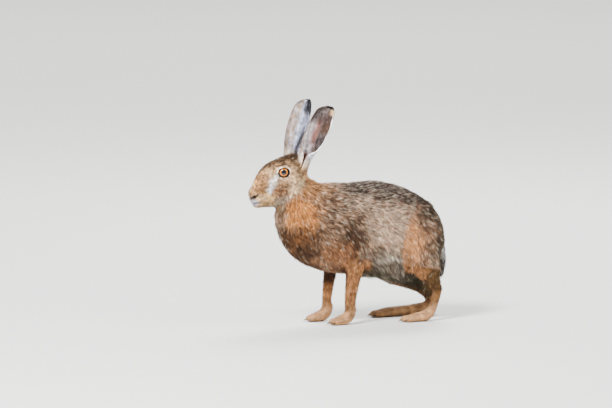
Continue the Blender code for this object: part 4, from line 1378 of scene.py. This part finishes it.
def almond(angle):
    """Forward and up of the eye's opening, by the angle round it."""
    off = (angle - CORNER_ANGLE + math.pi) % math.tau - math.pi
    rear = (angle - CORNER_ANGLE) % math.tau - math.pi
    reach = 1 + 0.42 * math.exp(-(off / 0.32) ** 2) + 0.06 * math.exp(-(rear / 0.40) ** 2)
    return OPENING[0] * reach * math.cos(angle), OPENING[1] * reach * math.sin(angle)


def make_lids(side, skin_tree):
    """A ring of eight-sided sections from the ball's edge out to the skin."""
    outward = LEFTWARD * SIDES[side]
    centre = EYES[side]
    mesh = bmesh.new()
    loops = []
    for k in range(LID_POINTS):
        angle = math.tau * k / LID_POINTS
        forward, up = almond(angle)
        flat = FORWARD * forward + UP * up
        deep = math.sqrt(max(EYE_RADIUS ** 2 - flat.length_squared, 1e-9))
        edge = centre + flat + outward * deep
        beyond = centre + flat * LID_WIDTH + outward * 0.03
        hit = skin_tree.ray_cast(beyond, -outward)[0] or edge
        away = flat.normalized()
        heavy = UPPER_LID if up > 0 else 0.0
        loop = [
            edge - outward * 0.0012 - away * 0.0002,
            edge + outward * (0.0006 + heavy),
            edge.lerp(hit, 0.16) + outward * (0.0013 + heavy),
            edge.lerp(hit, 0.40) + outward * (0.0015 + heavy),
            edge.lerp(hit, 0.70) + outward * 0.0008,
            hit - outward * 0.0002,
            hit - outward * 0.0030,
            edge - outward * 0.0040 + away * 0.0010,
        ]
        loops.append([mesh.verts.new(point) for point in loop])
    for k in range(LID_POINTS):
        here, there = loops[k], loops[(k + 1) % LID_POINTS]
        for n in range(len(here)):
            after = (n + 1) % len(here)
            mesh.faces.new((here[n], here[after], there[after], there[n]))
    bmesh.ops.recalc_face_normals(mesh, faces=mesh.faces)
    lids = object_from(mesh, "lids_" + side)
    rounder = lids.modifiers.new("rounder", "SUBSURF")
    rounder.levels = LID_ROUNDING
    rounder.render_levels = LID_ROUNDING
    apply_all(lids)
    paint_lids(lids, side)
    return lids


def paint_lids(lids, side):
    """A dark wet edge next to the ball, and the markings of the coat outside it."""
    points = coordinates(lids.data)
    on_head = np.full(len(points), part_of("head"))
    markings = coat_marks(points, vertex_normals(lids.data), on_head)
    ahead, above, _ = eye_offset(points, side)
    edge = np.array([np.hypot(*almond(angle)) for angle in np.arctan2(above, ahead)])
    share = fade(np.hypot(ahead, above) - edge, *WET_EDGE)[:, None]
    paint_points(lids.data, linear("dark_line") * 0.6 * (1 - share) + markings[:, :3] * 0.86 * share)
    lids.data.materials.append(hide)
    lids.data.shade_smooth()


skin_tree = BVHTree.FromPolygons([v.co[:] for v in skin.data.vertices],
                                 [p.vertices[:] for p in skin.data.polygons])
lids = {side: make_lids(side, skin_tree) for side in SIDES}
print("lid faces", len(lids["left"].data.polygons))

# %% [markdown]
# Claws are short curved horns that look out of the fur of the toes. Each is modelled from a cone,
# cut into rings and bent by moving them, and set at the tip of its toe. An array along a curve
# could deal them out too, but the toes fan a little and the two kinds of foot differ.

# %% Claws
CLAW = {"forefoot": (0.0085, 0.0013), "hind_foot": (0.0100, 0.0016)}
CLAW_ROOT = {"forefoot": 0.0070, "hind_foot": 0.0085}
OUTER_TOE_BACK = {"forefoot": 0.0047, "hind_foot": 0.0068}
CLAW_HEIGHT = 0.0052
CLAW_DROP = 0.0035
TOES = 4


def claw_mesh(length, radius):
    """A tapered horn from its root at the origin, forward along -X and bent down."""
    bpy.ops.mesh.primitive_cone_add(vertices=10, radius1=radius, radius2=radius * 0.12, depth=length)
    claw = bpy.context.active_object
    only(claw)
    bpy.ops.object.mode_set(mode="EDIT")
    bpy.ops.mesh.select_all(action="SELECT")
    bpy.ops.mesh.subdivide(number_cuts=4)
    bpy.ops.object.mode_set(mode="OBJECT")
    for vert in claw.data.vertices:
        share = vert.co.z / length + 0.5
        vert.co = Vector((-share * length, vert.co.y * 0.75, vert.co.x - CLAW_DROP * share * share))
    claw.data.shade_smooth()
    return claw


def place_claws():
    """A claw on each toe of each foot, joined into one piece."""
    made = []
    for foot in FEET:
        kind = kind_of(foot)
        low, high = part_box(foot)
        length, radius = CLAW[kind]
        for k in range(TOES):
            from_middle = k - (TOES - 1) / 2
            across = from_middle / ((TOES - 1) / 2)
            claw = claw_mesh(length, radius)
            x = low.x + CLAW_ROOT[kind] + OUTER_TOE_BACK[kind] * abs(across)
            y = (low.y + high.y) / 2 + from_middle * TOE_STEP[kind]
            claw.data.transform(Matrix.Translation((x, y, CLAW_HEIGHT)))
            made.append(claw)
    bpy.ops.object.select_all(action="DESELECT")
    for claw in made:
        claw.select_set(True)
    bpy.context.view_layer.objects.active = made[0]
    bpy.ops.object.join()
    made[0].name = "claws"
    return made[0]


claws = place_claws()
horn, horn_tree, horn_shader = new_material("horn", 0.35)
horn_noise = node(horn_tree, "ShaderNodeTexNoise", Scale=500.0, Detail=2.0)
horn_place = node(horn_tree, "ShaderNodeTexCoord")
link(horn_place, "Object", horn_noise, "Vector")
horn_ramp = node(horn_tree, "ShaderNodeValToRGB")
horn_ramp.color_ramp.elements[0].color = (0.020, 0.014, 0.010, 1.0)
horn_ramp.color_ramp.elements[1].color = (0.075, 0.052, 0.038, 1.0)
link(horn_noise, "Fac", horn_ramp, "Fac")
link(horn_ramp, "Color", horn_shader, "Base Color")
claws.data.materials.append(horn)
print("claw faces", len(claws.data.polygons))

# %% [markdown]
# Whiskers are long stiff hairs in rows on the pads of the upper lip. They could be tufts like the
# rest, but they are longer and rounder, so each is a curve with a thin round section that tapers
# to its tip, and all are turned into one mesh at the end.

# %% Whiskers
WHISKER_ROWS = 4
WHISKERS_PER_ROW = 5
WHISKER_PAD = (0.1045, 0.0150, 0.2275)
WHISKER_STEP = 0.0036
WHISKER_ROW_STEP = 0.0034
WHISKER_LENGTHS = (0.020, 0.036)
WHISKER_RADIUS = 0.00013
WHISKER_SINK = 0.0008
WHISKER_PARTS = 6


def make_whiskers():
    """Curved hairs that leave the pad outward and bend to the rear."""
    draw = np.random.default_rng(7)
    curve = bpy.data.curves.new("whiskers", "CURVE")
    curve.dimensions = "3D"
    curve.bevel_depth = WHISKER_RADIUS
    curve.bevel_resolution = 1
    for sign in SIDES.values():
        for row in range(WHISKER_ROWS):
            for k in range(WHISKERS_PER_ROW):
                forward = WHISKER_PAD[0] - WHISKER_STEP * k + draw.uniform(-0.0006, 0.0006)
                height = WHISKER_PAD[2] + WHISKER_ROW_STEP * row + 0.0005 * k
                height = height + draw.uniform(-0.0005, 0.0005)
                root = in_head(forward, sign * WHISKER_PAD[1], height)
                hit = skin_tree.find_nearest(root)[0]
                length = draw.uniform(*WHISKER_LENGTHS)
                out = LEFTWARD * sign
                first = (out * 0.8 - FORWARD * 0.35 + UP * draw.uniform(-0.25, 0.15)).normalized()
                second = (out * 0.35 - FORWARD * 0.8 + UP * draw.uniform(-0.6, -0.1)).normalized()
                spline = curve.splines.new("POLY")
                spline.points.add(WHISKER_PARTS)
                for n in range(WHISKER_PARTS + 1):
                    share = n / WHISKER_PARTS
                    point = hit + first * length * share * (1 - share / 2)
                    point = point + second * length * share * share / 2 - out * WHISKER_SINK * (n == 0)
                    spline.points[n].co = (*point, 1.0)
                    spline.points[n].radius = 1.0 - 0.85 * share
    only(new_object("whiskers", curve))
    bpy.ops.object.convert(target="MESH")
    return bpy.context.active_object


whiskers = make_whiskers()
whisker_material, _, whisker_shader = new_material("whisker", 0.4)
whisker_shader.inputs["Base Color"].default_value = (0.45, 0.40, 0.34, 1.0)
whiskers.data.materials.append(whisker_material)
print("whisker faces", len(whiskers.data.polygons))

# %% [markdown]
# Every piece now rides on the one body of the model, and the solids of the frame are hidden.

# %% Tie the pieces to the frame
for piece in [skin, *coats, *eyeballs.values(), *lids.values(), claws, whiskers]:
    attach(piece, "root")
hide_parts(*[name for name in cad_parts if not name.startswith("eye")])
for side in SIDES:
    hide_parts("eye_" + side)

# %% [markdown]
# The stage is a plain pale floor. One soft light stands high at the left of the camera, a weaker
# one fills from the right, a third from behind lifts the outline, and a wide one over the far
# floor keeps it as pale as the near floor. The camera stands far off with a long lens, as for a
# wild animal, a little above the ground.

# %% Floor, lights and camera
AZIMUTH = math.radians(-25)
ELEVATION = math.radians(6)
AIM = Vector((-0.0648, 0.0547, 0.2108))
DISTANCE = 15.0
PHOTO_WIDTH = 612
METRES_PER_PIXEL = 0.0018
FIELD_WIDTH = PHOTO_WIDTH * METRES_PER_PIXEL

bpy.ops.mesh.primitive_circle_add(vertices=96, radius=14.0, fill_type="NGON", location=(0, 0, 0))
floor = bpy.context.active_object
floor.name = "floor"
floor_material, _, floor_shader = new_material("pale_floor", 0.8)
floor_shader.inputs["Base Color"].default_value = (0.74, 0.74, 0.72, 1.0)
floor.data.materials.append(floor_material)


def look_along(piece, direction):
    piece.rotation_mode = "QUATERNION"
    piece.rotation_quaternion = direction.to_track_quat("-Z", "Y")


def soft_light(name, place, size, power, aim=(0.0, 0.0, 0.2)):
    """A square lamp of some size in metres and power in watts, turned to look at a point."""
    bpy.ops.object.light_add(type="AREA", location=place)
    light = bpy.context.active_object
    light.name = name
    light.data.size = size
    light.data.energy = power
    look_along(light, Vector(aim) - Vector(place))


soft_light("key_light", (-2.3, -1.6, 2.8), 1.0, 410.0)
soft_light("fill_light", (1.8, -2.6, 2.6), 2.2, 70.0)
soft_light("rim_light", (1.2, 1.8, 2.4), 1.2, 110.0)
soft_light("floor_light", (2.2, 5.2, 4.0), 6.0, 480.0, aim=(2.2, 5.2, 0.0))
world = bpy.data.worlds.new("studio")
bpy.context.scene.world = world
world.use_nodes = True
world.node_tree.nodes["Background"].inputs["Color"].default_value = (0.88, 0.87, 0.85, 1.0)
world.node_tree.nodes["Background"].inputs["Strength"].default_value = 0.46

back = Vector((math.sin(AZIMUTH) * math.cos(ELEVATION),
               -math.cos(AZIMUTH) * math.cos(ELEVATION), math.sin(ELEVATION)))
bpy.ops.object.camera_add(location=AIM + back * DISTANCE)
camera = bpy.context.active_object
look_along(camera, -back)
camera.data.lens = camera.data.sensor_width * DISTANCE / FIELD_WIDTH
camera.data.clip_end = 100.0
bpy.context.scene.camera = camera
print("lens mm", round(camera.data.lens, 1))
